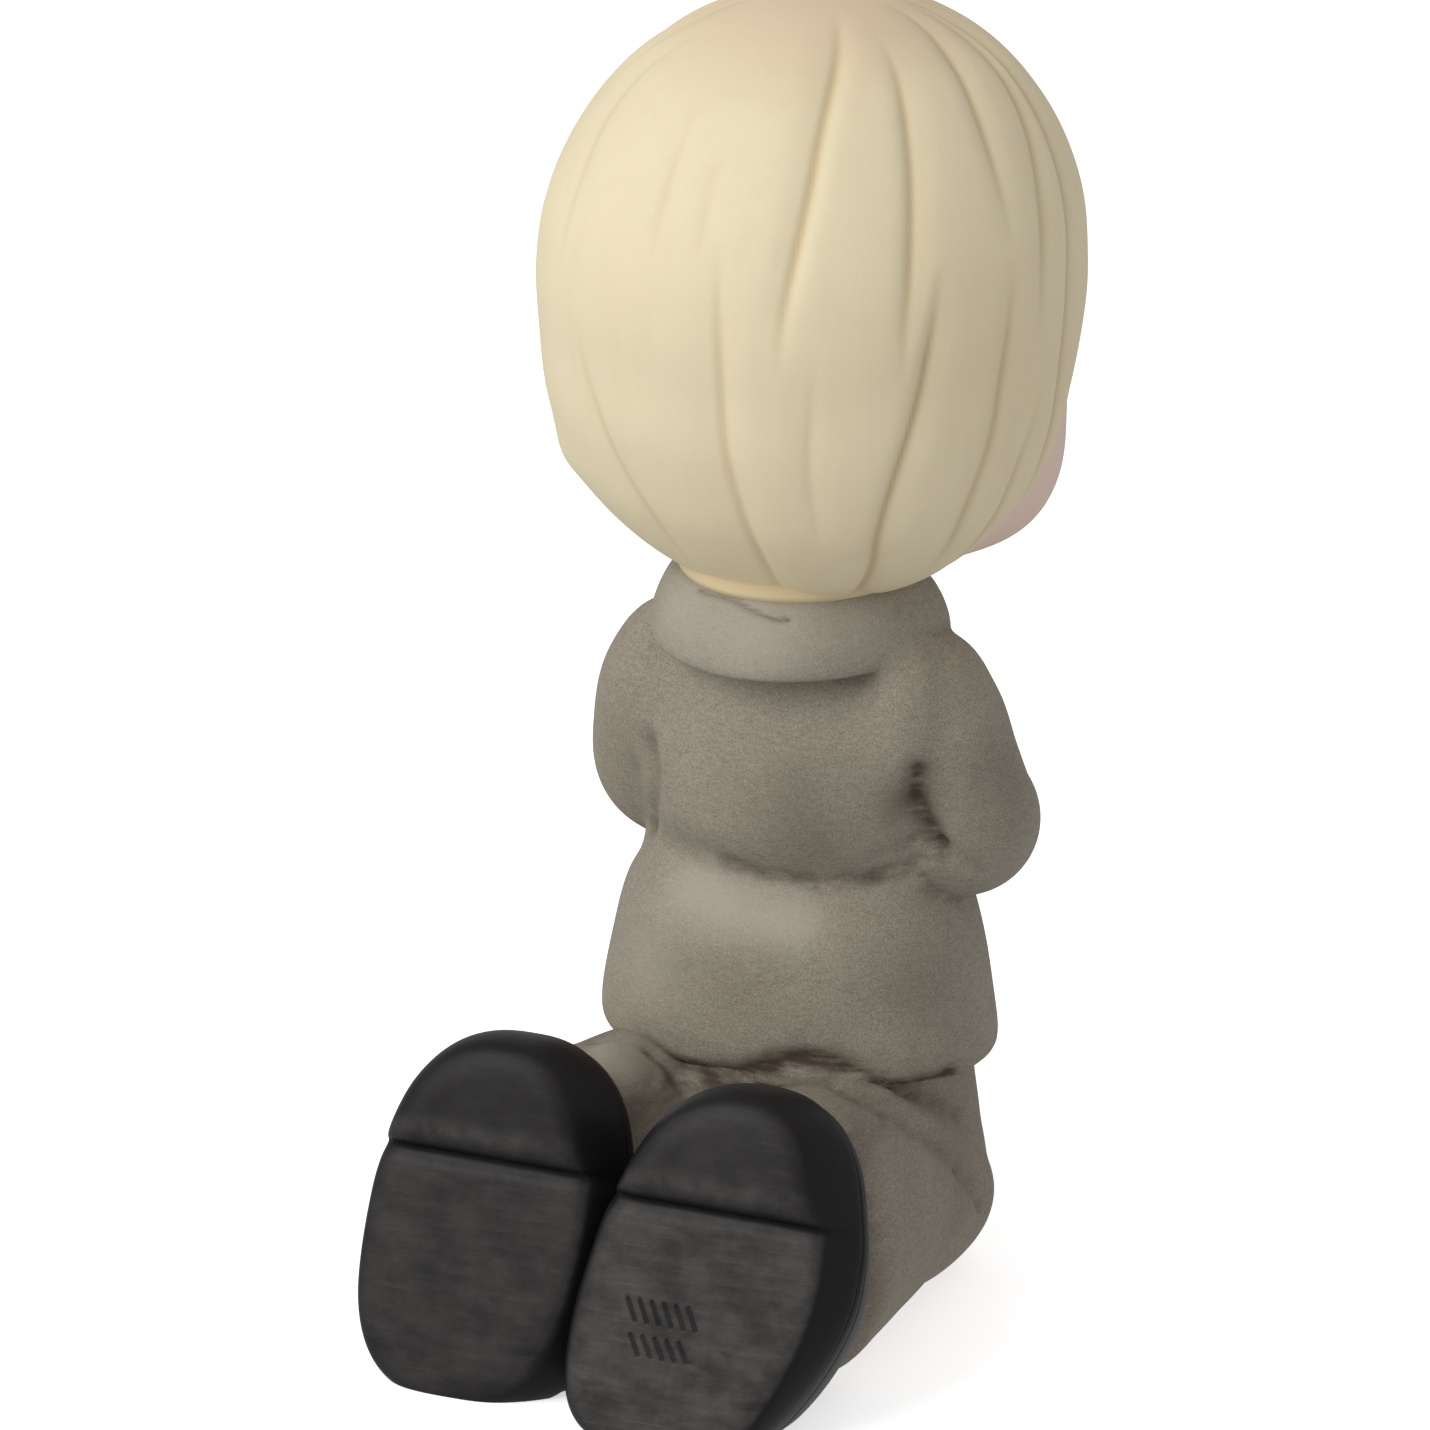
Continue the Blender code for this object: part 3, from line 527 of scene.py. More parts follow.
# Shoes. Plain lace-less shoes with the toes down and the soles facing back: an upper, a welt, a thick sole
# with rounded edges and a low heel, all part of the casting. They are painted black, and the soles are
# brushed across with an almost dry grey brush.
SHOE_SPACING = 12.2
SHOE_LENGTH = 35.2
SHOE_HALF_WIDTH = 12.4
SHOE_DEPTH = 14.5
SHOE_LEAN = math.radians(18.0)
SHOE_TURN = math.radians(6.0)
SHOE_SWING = 3.0
TOE_SLANT = 0.4
TOE_LEFT = {1: 1.0, -1: 1.13}
TOE_RIGHT = {1: 0.97, -1: 0.78}
TOE_BULGE = {1: 1.20, -1: 0.70}
TOE_SQUARE = {1: 0.72, -1: 0.66}
TOE_SQUARE_LEFT = {1: 0.72, -1: 0.46}
HEEL_SQUARE = {1: 0.70, -1: 0.80}
SOLE_DRAFT = 0.16
HEEL_DRAFT = 0.08
UPPER_AT_HEEL = 0.70
UPPER_AT_TOE = 1.8
SHOE_HEEL_BACK = 33.4
SHOE_HEEL_HEIGHT = 32.9
SOLE_THICKNESS = 4.4
HEEL_LENGTH = 11.4
HEEL_RISE = 1.9

down_the_sole = Vector((0, math.sin(SHOE_LEAN), -math.cos(SHOE_LEAN)))
out_of_the_sole = Vector((0, math.cos(SHOE_LEAN), math.sin(SHOE_LEAN)))


def sole_outline(turn, side, deep):
    """(across, down the sole) of the shoe's outline: a round heel, a broad ball and a square toe. deep is
    0 at the sole's face and 1 in the upper. The face is narrower on the boy's right, where it slopes."""
    across, lengthways = math.cos(turn), math.sin(turn)
    toe_square = TOE_SQUARE_LEFT[side] if side * across > 0 else TOE_SQUARE[side]
    square = mix(toe_square, 1.0, step(-0.4, 0.5, lengthways))
    heel_square = HEEL_SQUARE[side] if side * across > 0 else 0.80
    across = math.copysign(abs(across) ** mix(square, heel_square, step(0.2, 0.7, lengthways)), across)
    down = 0.5 - 0.5 * math.copysign(abs(lengthways) ** square, lengthways)
    if side * across > 0:
        broad = mix(1.0, TOE_LEFT[side], step(0.20, 0.75, down))
    else:
        toe = mix(TOE_RIGHT[side], TOE_BULGE[side], deep)
        broad = mix(1.0, toe, step(0.50, 1.0, down)) * (1.0 - SOLE_DRAFT * (1.0 - deep))
    reach = SHOE_LENGTH * down + TOE_SLANT * side * across * step(0.5, 1.0, down)
    return SHOE_HALF_WIDTH * broad * across + side * SHOE_SWING * (down - 0.35), reach


def shoe(name, side):
    edge, deep = SOLE_THICKNESS, SHOE_DEPTH
    stations = [
        (0.0, 0.0),
        (0.0, 0.16),
        (0.0, 0.31),
        (0.0, 0.45),
        (0.0, 0.58),
        (0.0, 0.70),
        (-0.03, 0.79),
        (-0.18, 0.86),
        (-0.55, 0.925),
        (-1.3, 0.97),
        (-2.6, 0.997),
        (0.3 - edge, 1.0),
        (-0.05 - edge, 0.985),
        (-0.3 - edge, 0.957),
        (-0.6 - edge, 0.972),
        (-1.6 - edge, 0.970),
        (-1.9 - edge, 0.950),
        (-2.3 - edge, 0.962),
        (-0.60 * deep, 0.93),
        (-0.78 * deep, 0.84),
        (-0.92 * deep, 0.66),
        (-deep, 0.42),
        (-deep, 0.0),
    ]

    def place(share, turn):
        out, scale = along(stations, share)
        across, reach = sole_outline(turn, side, step(0.0, edge + 1.5, -out))
        across, reach = across * scale, mix(0.5 * SHOE_LENGTH, reach, scale)
        face = 1.0 + out / edge
        if face > 0:
            rounded = min(max((reach - HEEL_LENGTH + 3.0) / 3.2, 0.0), 1.0)
            heel = math.sqrt(1.0 - rounded**2.5)
            if side * across < 0:
                across *= 1.0 - HEEL_DRAFT * heel * face
            out += face * (HEEL_RISE * heel - 0.4 * bump(reach - HEEL_LENGTH - 0.7, 0.8))
        else:
            out = (out + edge) * mix(UPPER_AT_HEEL, UPPER_AT_TOE, step(0.3, 0.9, reach / SHOE_LENGTH)) - edge
        heel_end = Vector((SHOE_SPACING, SHOE_HEEL_BACK, SHOE_HEEL_HEIGHT))
        point = heel_end + down_the_sole * reach + Vector((across, 0, 0)) + out_of_the_sole * out
        point.x *= side
        middle = Vector((side * SHOE_SPACING, SHOE_HEEL_BACK, 0))
        return middle + Matrix.Rotation(SHOE_TURN, 3, "Z") @ (point - middle)

    form = ball(name, 230, 280, place)
    cut_flat(form)
    return form


def laid_out(points, side):
    """(across, down the sole, out of its face) of each point, in the shoe's own directions."""
    middle = np.array((side * SHOE_SPACING, SHOE_HEEL_BACK, 0.0))
    turned = (points - middle) @ np.array(Matrix.Rotation(SHOE_TURN, 3, "Z"))
    turned[:, 2] -= SHOE_HEEL_HEIGHT
    down, out = turned @ np.array(down_the_sole), turned @ np.array(out_of_the_sole)
    return np.stack((turned[:, 0], down, out), axis=1)


def press_strokes(piece, side):
    """Two rows of short slanted strokes, pressed into the sole with a point before firing."""
    bm = bmesh.new()
    bm.from_mesh(piece.data)
    middle = laid_out(np.array([vert.co[:] for vert in bm.verts]) / MM, side)
    near = (abs(middle[:, 0] - 4.4) < 5.6) & (abs(middle[:, 1] - 23.4) < 4.2) & (middle[:, 2] > -0.6)
    bm.verts.ensure_lookup_table()
    chosen = {bm.verts[index] for index in np.nonzero(near)[0]}
    edges = [edge for edge in bm.edges if edge.verts[0] in chosen and edge.verts[1] in chosen]
    bmesh.ops.subdivide_edges(bm, edges=edges, cuts=1, use_grid_fill=True)
    bm.to_mesh(piece.data)
    bm.free()
    points, facing = surface_of(piece)
    laid = laid_out(points, side)
    deep = np.zeros(len(points))
    for first, count, top, long in ((2.7, 6, 20.9, 1.9), (3.2, 5, 24.2, 1.7)):
        for number in range(count):
            start = np.array((first + 1.2 * number, top, 0.0))
            run = np.array((-0.95, long, 0.0))
            share = np.clip((laid - start) @ run / (run @ run), 0.0, 1.0)
            away = np.linalg.norm((laid - start - share[:, None] * run)[:, :2], axis=1)
            deep = np.maximum(deep, np.exp(-((away / 0.17) ** 2)))
    deep *= laid[:, 2] > -0.6
    piece.data.vertices.foreach_set("co", ((points - facing * 0.22 * deep[:, None]) * MM).ravel())
    piece.data.update()


black, tree, shader = paint("shoe_black", 0.45)
shader.inputs["Specular IOR Level"].default_value = 0.17
laid = node(tree, "Attribute", {"attribute_name": "laid"}).outputs["Vector"]
brushed = node(tree, "Mapping", Vector=laid, Rotation=(0.0, 0.0, 0.10), Scale=(0.20, 1.1, 1.0)).outputs[0]
streaks = between(tree, cloud(tree, 1.0, 6.0, brushed, 0.62), 0.36, 0.72)
broad = between(tree, cloud(tree, 0.16, 5.0, laid, 0.65), 0.34, 0.68)
scuffed = node(tree, "Mapping", Vector=laid, Rotation=(0.0, 0.0, -0.16), Scale=(0.22, 3.4, 1.0)).outputs[0]
scuffs = between(tree, cloud(tree, 1.0, 2.0, scuffed), 0.63, 0.72)
dry = sums(tree, "ADD", sums(tree, "MULTIPLY", streaks, 0.20), sums(tree, "MULTIPLY", broad, 0.42))
dry = sums(tree, "ADD", dry, sums(tree, "MULTIPLY", scuffs, 0.22))
leather = over(tree, kept(tree, "sole"), (0.0095, 0.0085, 0.0098), (0.030, 0.028, 0.027))
leather = partly(tree, dry, kept(tree, "sole"), leather, (0.125, 0.118, 0.109))
# Painted highlight: a lighter grey on the heel's rounded lower roll and on the rounded edges near it.
painted_highlight_amount = sums(tree, "ADD", sums(tree, "MULTIPLY", broad, 0.5), 0.12)
leather = partly(tree, kept(tree, "painted_highlight"), painted_highlight_amount, leather, (0.085, 0.080, 0.074))
# Painted shade: almost black in the shoe's hollows and in the band under the heel's ledge.
leather = over(tree, kept(tree, "wash_and_painted_shade"), leather, (0.005, 0.004, 0.005))
tree.links.new(leather, shader.inputs["Base Color"])
uneven = sums(tree, "ADD", sums(tree, "MULTIPLY", streaks, 0.5), cloud(tree, 1500.0, 3.0))
roughened(tree, shader, uneven, 0.015)

for name, side in (("left_shoe", 1), ("right_shoe", -1)):
    piece = shoe(name, side)
    if side < 0:
        press_strokes(piece, side)
    points, facing = surface_of(piece)
    across, down, out = laid_out(points, side).T
    back = facing @ np.array(Matrix.Rotation(SHOE_TURN, 3, "Z") @ out_of_the_sole)
    on_heel = 1.0 - 0.7 * np.clip((HEEL_LENGTH + 0.5 - down) / 1.5, 0.0, 1.0)
    # The grey is laid thinner on the left sole than on the right, and thickest towards the right sole's toe.
    sole_grey_share = 0.48 if side > 0 else mix(0.84, 1.0, np.clip((down - 20.0) / 10.0, 0.0, 1.0))
    painted(piece, "sole", np.clip((back - 0.70) / 0.28, 0.0, 1.0) * (out > -1.4) * on_heel * sole_grey_share)
    # Painted highlight on the rounded edges of the heel's face and along the heel's lower roll.
    edges = (5.0 * -hollows(piece, 8) - 0.04) * (out > -1.5) * (down < HEEL_LENGTH + 3.0)
    facing_back = np.clip((back - 0.55) / 0.35, 0.0, 1.0) * (out > -1.4)
    painted(piece, "painted_highlight", edges + np.exp(-(((down - HEEL_LENGTH + 1.8) / 1.0) ** 2)) * facing_back)
    # Painted shade in the hollows, and painted shadow in the band under the heel's ledge.
    under_heel = 0.75 * np.exp(-(((down - HEEL_LENGTH - 0.1) / 0.65) ** 2)) * (out > -1.4)
    painted(piece, "wash_and_painted_shade", 6.0 * hollows(piece, 8) + under_heel)
    layer = piece.data.attributes.new("laid", "FLOAT_VECTOR", "POINT")
    layer.data.foreach_set("vector", np.stack((across, down, out), axis=1).ravel())
    into_place(piece, black)

# Jacket. A plain closed jacket with a turned down collar and bent arms, the skirt spread over the seat. It
# is one with the casting and coloured as the trousers are, whose grey is laid a little darker as painted
# shade. The folds at the waist and inside the elbows were carved in the model, and the brown wash lies in
# them; painted shade darkens them and the broad hollows, most of all under the collar and under the hem.
# Broad patches are painted lighter or darker as painted light and painted shade.
HEM_HALF_WIDTH = 19.3
HEM_HALF_DEPTH = 15.0
HEM_FRONT = 13.4
WAIST_HALF_WIDTH = 15.2
WAIST_HALF_DEPTH = 12.0
JACKET_HEIGHT = 44.0
SLEEVE_RADIUS = 7.2
CUFF_RADIUS = 5.2
ELBOW_OUT = 15.3
RIGHT_SHOULDER_AHEAD = 2.4
COLLAR_TOP_HALF_WIDTH = 10.6
COLLAR_EDGE_HALF_WIDTH = 13.2
COLLAR_BACK_SHARE = 1.12
COLLAR_HEIGHT = 7.2
COLLAR_THICKNESS = 2.6
NECK_ROOT = HEM_HEIGHT + JACKET_HEIGHT


def oval(turn, half_width, front, back, squareness=2.0):
    """A point of an oval seen from above, deeper or shallower in front than behind."""
    across, out = math.cos(turn), math.sin(turn)
    power = 2.0 / squareness
    x = half_width * math.copysign(abs(across) ** power, across)
    y = (back if out > 0 else front) * math.copysign(abs(out) ** power, out)
    return x, y


def body_point(share, turn):
    hem, top = HEM_HEIGHT, NECK_ROOT
    waist = hem + 0.40 * JACKET_HEIGHT
    width, front, depth = HEM_HALF_WIDTH, HEM_FRONT, HEM_HALF_DEPTH
    stations = [
        (hem + 1.5, 0.0, 0.0, 0.0, 2.2),
        (hem + 1.2, 0.60 * width, 0.60 * front, 0.60 * depth, 2.2),
        (hem + 0.2, 0.93 * width, 0.93 * front, 0.93 * depth, 2.2),
        (hem + 0.3, 0.985 * width, 0.98 * front, 0.98 * depth, 2.2),
        (hem + 1.8, width, 0.99 * front, depth, 2.2),
        (hem + 5.0, 0.98 * width, 0.97 * front, 0.99 * depth, 2.2),
        (hem + 10.0, 0.925 * width, front, 0.93 * depth, 2.2),
        (hem + 14.5, 0.86 * width, 0.97 * front, 0.86 * depth, 2.2),
        (waist, WAIST_HALF_WIDTH, 1.03 * WAIST_HALF_DEPTH, WAIST_HALF_DEPTH, 2.2),
        (waist + 5.0, 0.98 * WAIST_HALF_WIDTH, WAIST_HALF_DEPTH, 1.03 * WAIST_HALF_DEPTH, 2.2),
        (waist + 10.0, WAIST_HALF_WIDTH, WAIST_HALF_DEPTH, 1.03 * WAIST_HALF_DEPTH, 2.2),
        (waist + 15.5, 0.98 * WAIST_HALF_WIDTH, 0.97 * WAIST_HALF_DEPTH, WAIST_HALF_DEPTH, 2.2),
        (top - 6.5, 0.86 * WAIST_HALF_WIDTH, 0.90 * WAIST_HALF_DEPTH, 0.92 * WAIST_HALF_DEPTH, 2.1),
        (top - 2.5, 0.68 * WAIST_HALF_WIDTH, 0.78 * WAIST_HALF_DEPTH, 0.80 * WAIST_HALF_DEPTH, 2.0),
        (top + 1.0, 0.50 * WAIST_HALF_WIDTH, 0.62 * WAIST_HALF_DEPTH, 0.64 * WAIST_HALF_DEPTH, 2.0),
        (top + 1.5, 0.0, 0.0, 0.0, 2.0),
    ]
    height, half_width, ahead, behind, squareness = along(stations, share)
    x, y = oval(turn, half_width, ahead, behind, squareness)
    if y > 0:
        above = height - HEM_HEIGHT - 0.46 * JACKET_HEIGHT - 0.03 * x
        fold = 0.8 * bump(above + 6.5, 4.2) - 1.15 * bump(above, 2.1) + 0.4 * bump(above - 5.5, 4.0)
        y += fold * step(1.0, 9.0, y)
    else:
        opening = 0.42 * (height - NECK_ROOT + 17.0)
        y += 0.8 * step(-0.5, 0.7, opening - abs(x))
        if opening < 0:
            y += 0.5 * bump(x, 0.7)
    return x, y, height


def sleeve(side):
    root, radius = NECK_ROOT, SLEEVE_RADIUS
    ahead = RIGHT_SHOULDER_AHEAD if side < 0 else 0.0
    stations = [
        (7.5, 2.0 - 0.5 * ahead, root - 6.5, 0.0, 0.0),
        (9.6 + 0.3 * ahead, 2.0 - ahead, root - 7.3, 0.86 * radius, 0.86 * radius),
        (12.1 + 0.2 * ahead, 1.8 - 1.1 * ahead, root - 10.6, 0.99 * radius, 0.99 * radius),
        (13.9, 0.2 - 0.8 * ahead, root - 15.6, radius, radius),
        (ELBOW_OUT - 0.4, -2.4 - 0.2 * ahead, root - 20.4, 1.02 * radius, 1.02 * radius),
        (ELBOW_OUT - 1.6, -6.4, root - 22.0, 0.98 * radius, 0.98 * radius),
        (ELBOW_OUT - 4.8, -10.2, root - 20.6, 0.88 * radius, 0.88 * radius),
        (7.6, -12.9, root - 18.2, 0.98 * CUFF_RADIUS, 0.98 * CUFF_RADIUS),
        (5.4, -14.4, root - 16.2, CUFF_RADIUS, CUFF_RADIUS),
        (5.2, -14.6, root - 16.0, 0.90 * CUFF_RADIUS, 0.90 * CUFF_RADIUS),
        (5.1, -14.7, root - 15.9, 0.0, 0.0),
    ]
    return limb("sleeve", 110, 64, stations, (0, -1, 0.3), side)


def collar():
    """A folded band, spun round the neck, low at the back and rising over the shoulders."""
    bm = bmesh.new()
    bmesh.ops.create_circle(bm, segments=32, radius=1.0)
    for vert in bm.verts:
        down, out = 0.5 - 0.5 * vert.co.y, vert.co.x
        middle = mix(COLLAR_TOP_HALF_WIDTH, COLLAR_EDGE_HALF_WIDTH, down)
        vert.co = Vector((middle + 0.5 * COLLAR_THICKNESS * out, 0, -down))
    ring = list(bm.verts) + list(bm.edges)
    bmesh.ops.spin(
        bm, geom=ring, axis=(0, 0, 1), cent=(0, 0, 0), angle=2 * math.pi, steps=180, use_merge=True,
    )
    for vert in bm.verts:
        behind = math.sin(math.atan2(vert.co.y, vert.co.x))
        drop = COLLAR_HEIGHT * mix(0.95, 1.0, step(-0.2, 1.0, behind))
        top = NECK_ROOT + 3.5 - 2.4 * step(-0.1, 1.0, -behind)
        deep = mix(1.0, COLLAR_BACK_SHARE, step(-0.6, 0.6, behind))
        vert.co = Vector((vert.co.x, vert.co.y * deep, top + vert.co.z * drop)) * MM
    return finished("collar", bm)


left_blade = lump("left_blade", (10.6, 2.4, NECK_ROOT - 9.0), (4.6, 6.2, 6.8))
right_blade = lump("right_blade", (-12.0, 2.2, NECK_ROOT - 10.5), (5.4, 6.3, 9.2))
jacket_forms = [ball("body", 140, 140, body_point), collar(), left_blade, right_blade, sleeve(1), sleeve(-1)]
jacket = fused("jacket", jacket_forms, 0.42, 6)
shoulders = [((12.0, 5.0, NECK_ROOT - 9.6), 8.6), ((-13.0, 4.0, NECK_ROOT - 9.6), 8.6)]
elbows = [((14.0, 5.0, NECK_ROOT - 18.6), 7.0), ((-15.5, 4.0, NECK_ROOT - 17.6), 7.0)]
fill_hollows(jacket, shoulders, 150)
fill_hollows(jacket, elbows, 14)

left_arm_fold = [(11.2, 8.9, 53.5), (10.4, 9.5, 50.6), (10.7, 9.2, 47.1), (11.3, 8.4, 44.6)]
right_arm_fold = [
    (-16.3, 7.6, 55.5), (-16.1, 7.5, 53.1), (-16.6, 6.7, 50.6), (-17.2, 5.9, 48.8), (-17.3, 5.4, 47.1),
]
hem_fold = [
    (7.6, 15.5, 25.3), (5.2, 14.7, 24.3), (2.1, 14.6, 24.0), (-1.2, 14.8, 24.6), (-4.3, 14.7, 25.8),
    (-6.9, 14.2, 26.8), (-9.0, 13.6, 27.3), (-11.0, 12.8, 26.8), (-13.0, 12.0, 25.6), (-14.9, 10.3, 24.3),
    (-16.2, 7.0, 23.4), (-18.3, 5.1, 24.5),
]
waist_fold = [
    (1.3, 12.1, 44.4), (-3.4, 11.9, 43.9), (-7.7, 10.6, 43.4), (-11.5, 8.5, 43.8), (-14.2, 6.4, 44.4),
]
collar_fold = [
    (4.3, 12.0, 71.0), (0.4, 12.5, 70.8), (-1.5, 12.8, 70.5), (-3.3, 12.9, 69.9), (-5.2, 12.2, 69.8),
]
jacket_creases = [
    (waist_fold, 0.35, 0.9),
    (left_arm_fold, 0.55, 1.2),
    (right_arm_fold, 0.75, 1.1),
    ([(-17.3, 5.4, 47.1), (-19.0, 3.8, 45.7), (-20.0, 1.5, 43.8)], 0.35, 0.8),
    ([(-17.3, 5.4, 47.1), (-14.8, 6.4, 45.6), (-12.4, 8.2, 44.6)], 0.35, 1.0),
    ([(-17.0, 5.6, 48.6), (-14.6, 6.8, 47.2), (-12.6, 8.4, 46.4)], 0.30, 0.9),
    (collar_fold, 0.42, 0.4),
    (hem_fold, 0.4, 0.9),
    ([(-4.3, 14.7, 27.1), (-7.2, 14.1, 27.7), (-9.3, 13.5, 27.6)], 0.25, 0.5),
]
carve(jacket, jacket_creases)
points, facing = surface_of(jacket)
# Darker in the fine and in the broad hollows, as brown wash and as painted shade.
fine, wide = np.maximum(hollows(jacket, 6), 0.0), np.maximum(hollows(jacket, 50) - 0.05, 0.0)
wash_and_painted_shade = 3.2 * fine + 0.45 * wide
# Painted shade along the folds and in a band under the hem.
painted_shade_lines = [
    (hem_fold, 1.0, 0.95), (hem_fold, 2.6, 0.35), (left_arm_fold, 1.2, 0.2), (right_arm_fold, 1.5, 0.7),
    (waist_fold, 1.0, 0.12),
]
for line, reach, dark in painted_shade_lines:
    wash_and_painted_shade += dark * np.exp(-((beside(points, on_surface(points, facing, line)) / reach) ** 2))
painted(jacket, "wash_and_painted_shade", wash_and_painted_shade)
opening = 0.42 * (points[:, 2] - NECK_ROOT + 17.0) - np.abs(points[:, 0])
in_front = (points[:, 1] < -4.0) * (points[:, 2] < NECK_ROOT - 1.0)
painted(jacket, "shirt", np.clip(opening / 0.5, 0.0, 1.0) * in_front)
# Painted light and painted shade on the jacket: lighter below the waist fold, on the collar and on the boy's
# left, where the surface faces up or towards the lamp; darker above the waist fold, in the elbow folds and
# on his right, away from the lamp.
laid_unevenly = [
    ((-6.0, 11.8, 39.8), 4.2, 0.32), ((0.5, 12.5, 40.6), 4.2, 0.28), ((5.5, 12.0, 41.5), 3.6, 0.22),
    ((-8.0, 11.0, 47.6), 4.6, -0.20), ((-1.5, 12.0, 47.2), 4.6, -0.14), ((5.0, 11.5, 47.2), 4.2, -0.06),
    ((-15.0, 7.5, 51.5), 3.2, -0.30), ((-17.0, 7.0, 33.0), 6.5, -0.19), ((-21.0, 0.0, 53.0), 7.0, -0.19),
    ((9.0, 12.0, 33.0), 6.5, 0.24), ((18.0, 3.0, 56.0), 6.0, 0.10), ((14.0, 7.0, 50.5), 2.6, -0.14),
    ((-3.0, 13.5, 69.0), 6.5, 0.32), ((7.0, 11.5, 69.0), 5.5, 0.26), ((-11.0, 7.0, 69.0), 4.5, 0.18),
    ((3.0, 12.0, 59.0), 7.0, 0.04), ((-9.0, 11.5, 36.0), 5.0, -0.05), ((-6.0, 11.5, 53.5), 5.5, -0.17),
]
painted_light_and_shade(jacket, laid_unevenly)
into_place(jacket, suit_paint("jacket_paint", (0.335, 0.305, 0.240), (0.195, 0.17, 0.13)))

# Hands. Bare hands held palm to palm in front of the chest, fingers up, cast with the sleeves and painted
# the colour of skin. The fingers are only marked by shallow grooves, as they are on small castings.


def skin_paint(name):
    """Satin skin colour, a little uneven. Gives the paint, its node tree, its shader and that colour."""
    colour, tree, shader = paint(name, 0.62)
    shader.inputs["Specular IOR Level"].default_value = 0.35
    patches = between(tree, cloud(tree, 60.0, 3.0), 0.3, 0.7)
    return colour, tree, shader, over(tree, patches, (0.80, 0.63, 0.51), (0.77, 0.59, 0.47))


skin, tree, shader, tone = skin_paint("skin_paint")
# The hollows between the fingers and between the hands are painted darker, as wash and painted shade.
tone = partly(tree, kept(tree, "wash_and_painted_shade"), 0.8, tone, (0.52, 0.33, 0.24))
tree.links.new(tone, shader.inputs["Base Color"])


def finger_grooves(share, turn):
    """Three grooves along the outside of the fingers, from the knuckles to the tips."""
    deep = 0.0
    for mark in (-0.62, -0.02, 0.60):
        deep = max(deep, bump(math.sin(turn) - mark, 0.13))
    return -0.5 * deep * step(0.42, 0.55, share)


hand_forms = []
for side in (1, -1):
    base = NECK_ROOT - 17.0
    palm = [
        (4.4, -12.0, base - 1.6, 0.0, 0.0),
        (4.2, -12.6, base - 1.2, 3.0, 3.2),
        (3.0, -14.4, base + 0.6, 3.1, 3.6),
        (2.3, -15.6, base + 3.0, 2.7, 3.7),
        (1.9, -16.4, base + 5.6, 2.3, 3.5),
        (1.7, -17.1, base + 8.2, 2.0, 3.0),
        (1.5, -17.6, base + 10.6, 1.7, 2.1),
        (1.4, -17.8, base + 11.6, 0.0, 0.0),
    ]
    thumb = [
        (3.4, -12.6, base + 0.6, 0.0, 0.0),
        (3.2, -12.6, base + 1.2, 1.2, 1.2),
        (2.4, -12.9, base + 3.6, 1.3, 1.3),
        (1.5, -13.5, base + 5.8, 1.1, 1.1),
        (1.2, -13.9, base + 6.6, 0.0, 0.0),
    ]
    hand_forms.append(limb("palm", 90, 110, palm, (0, -1, 0), side, finger_grooves))
    hand_forms.append(limb("thumb", 30, 30, thumb, (0, -1, 0), side))
hands = fused("hands", hand_forms, 0.28, 3)
# Darker in the hollows of the hands, as wash and painted shade.
painted(hands, "wash_and_painted_shade", 9.0 * hollows(hands, 6))
into_place(hands, skin)

# Head. A large round head with full cheeks, a small nose and a soft chin, resting on the collar. The eyes
# are closed and, like the brows and the mouth, only painted on, with a fine brush, over the skin colour.
HEAD_HEIGHT = 54.9
HEAD_HALF_WIDTH = 24.0
HEAD_HALF_DEPTH = 23.5
HEAD_BACK_SET = -1.7
CHIN_HEIGHT = NECK_ROOT + 1.0
CROWN_HEIGHT = CHIN_HEIGHT + HEAD_HEIGHT
CHEEK = Vector((17.0, -12.0, 74.4))
NOSE_HEIGHT = CHIN_HEIGHT + 0.226 * HEAD_HEIGHT
MOUTH_HEIGHT = CHIN_HEIGHT + 0.142 * HEAD_HEIGHT
EYE_HEIGHT = CHIN_HEIGHT + 0.317 * HEAD_HEIGHT
EYE_OUT = 8.6


@functools.cache
def head_section(share):
    """(height, half width, front, back) of the head at a share of the way from chin to crown."""
    wide, deep, base = HEAD_HALF_WIDTH, HEAD_HALF_DEPTH, CHIN_HEIGHT
    stations = [
        (0.0, 0.0, 0.0, 0.0),
        (0.007, 0.25, 0.36, 0.24),
        (0.044, 0.44, 0.70, 0.42),
        (0.098, 0.64, 0.88, 0.60),
        (0.171, 0.81, 0.975, 0.765),
        (0.244, 0.91, 1.0, 0.875),
        (0.353, 0.975, 0.955, 0.965),
        (0.463, 0.996, 0.965, 0.996),
        (0.572, 1.0, 0.985, 1.017),
        (0.681, 0.965, 0.965, 0.99),
        (0.790, 0.855, 0.86, 0.88),
        (0.882, 0.685, 0.69, 0.71),
        (0.945, 0.475, 0.49, 0.48),
        (0.987, 0.235, 0.25, 0.24),
        (1.0, 0.0, 0.0, 0.0),
    ]
    height, half_width, front, back = along(stations, share)
    return base + height * HEAD_HEIGHT, half_width * wide, front * deep, back * deep


def head_point(share, turn, swell=0.0):
    height, half_width, front, back = head_section(share)
    x, y = oval(turn, half_width, front, back, 2.08)
    middle = CHIN_HEIGHT + 0.52 * HEAD_HEIGHT
    lean = -2.2 * step(middle, CROWN_HEIGHT, height)
    point = Vector((x, y + HEAD_BACK_SET + lean, height))
    away = Vector((x, y, height - middle)).normalized()
    return point + away * swell


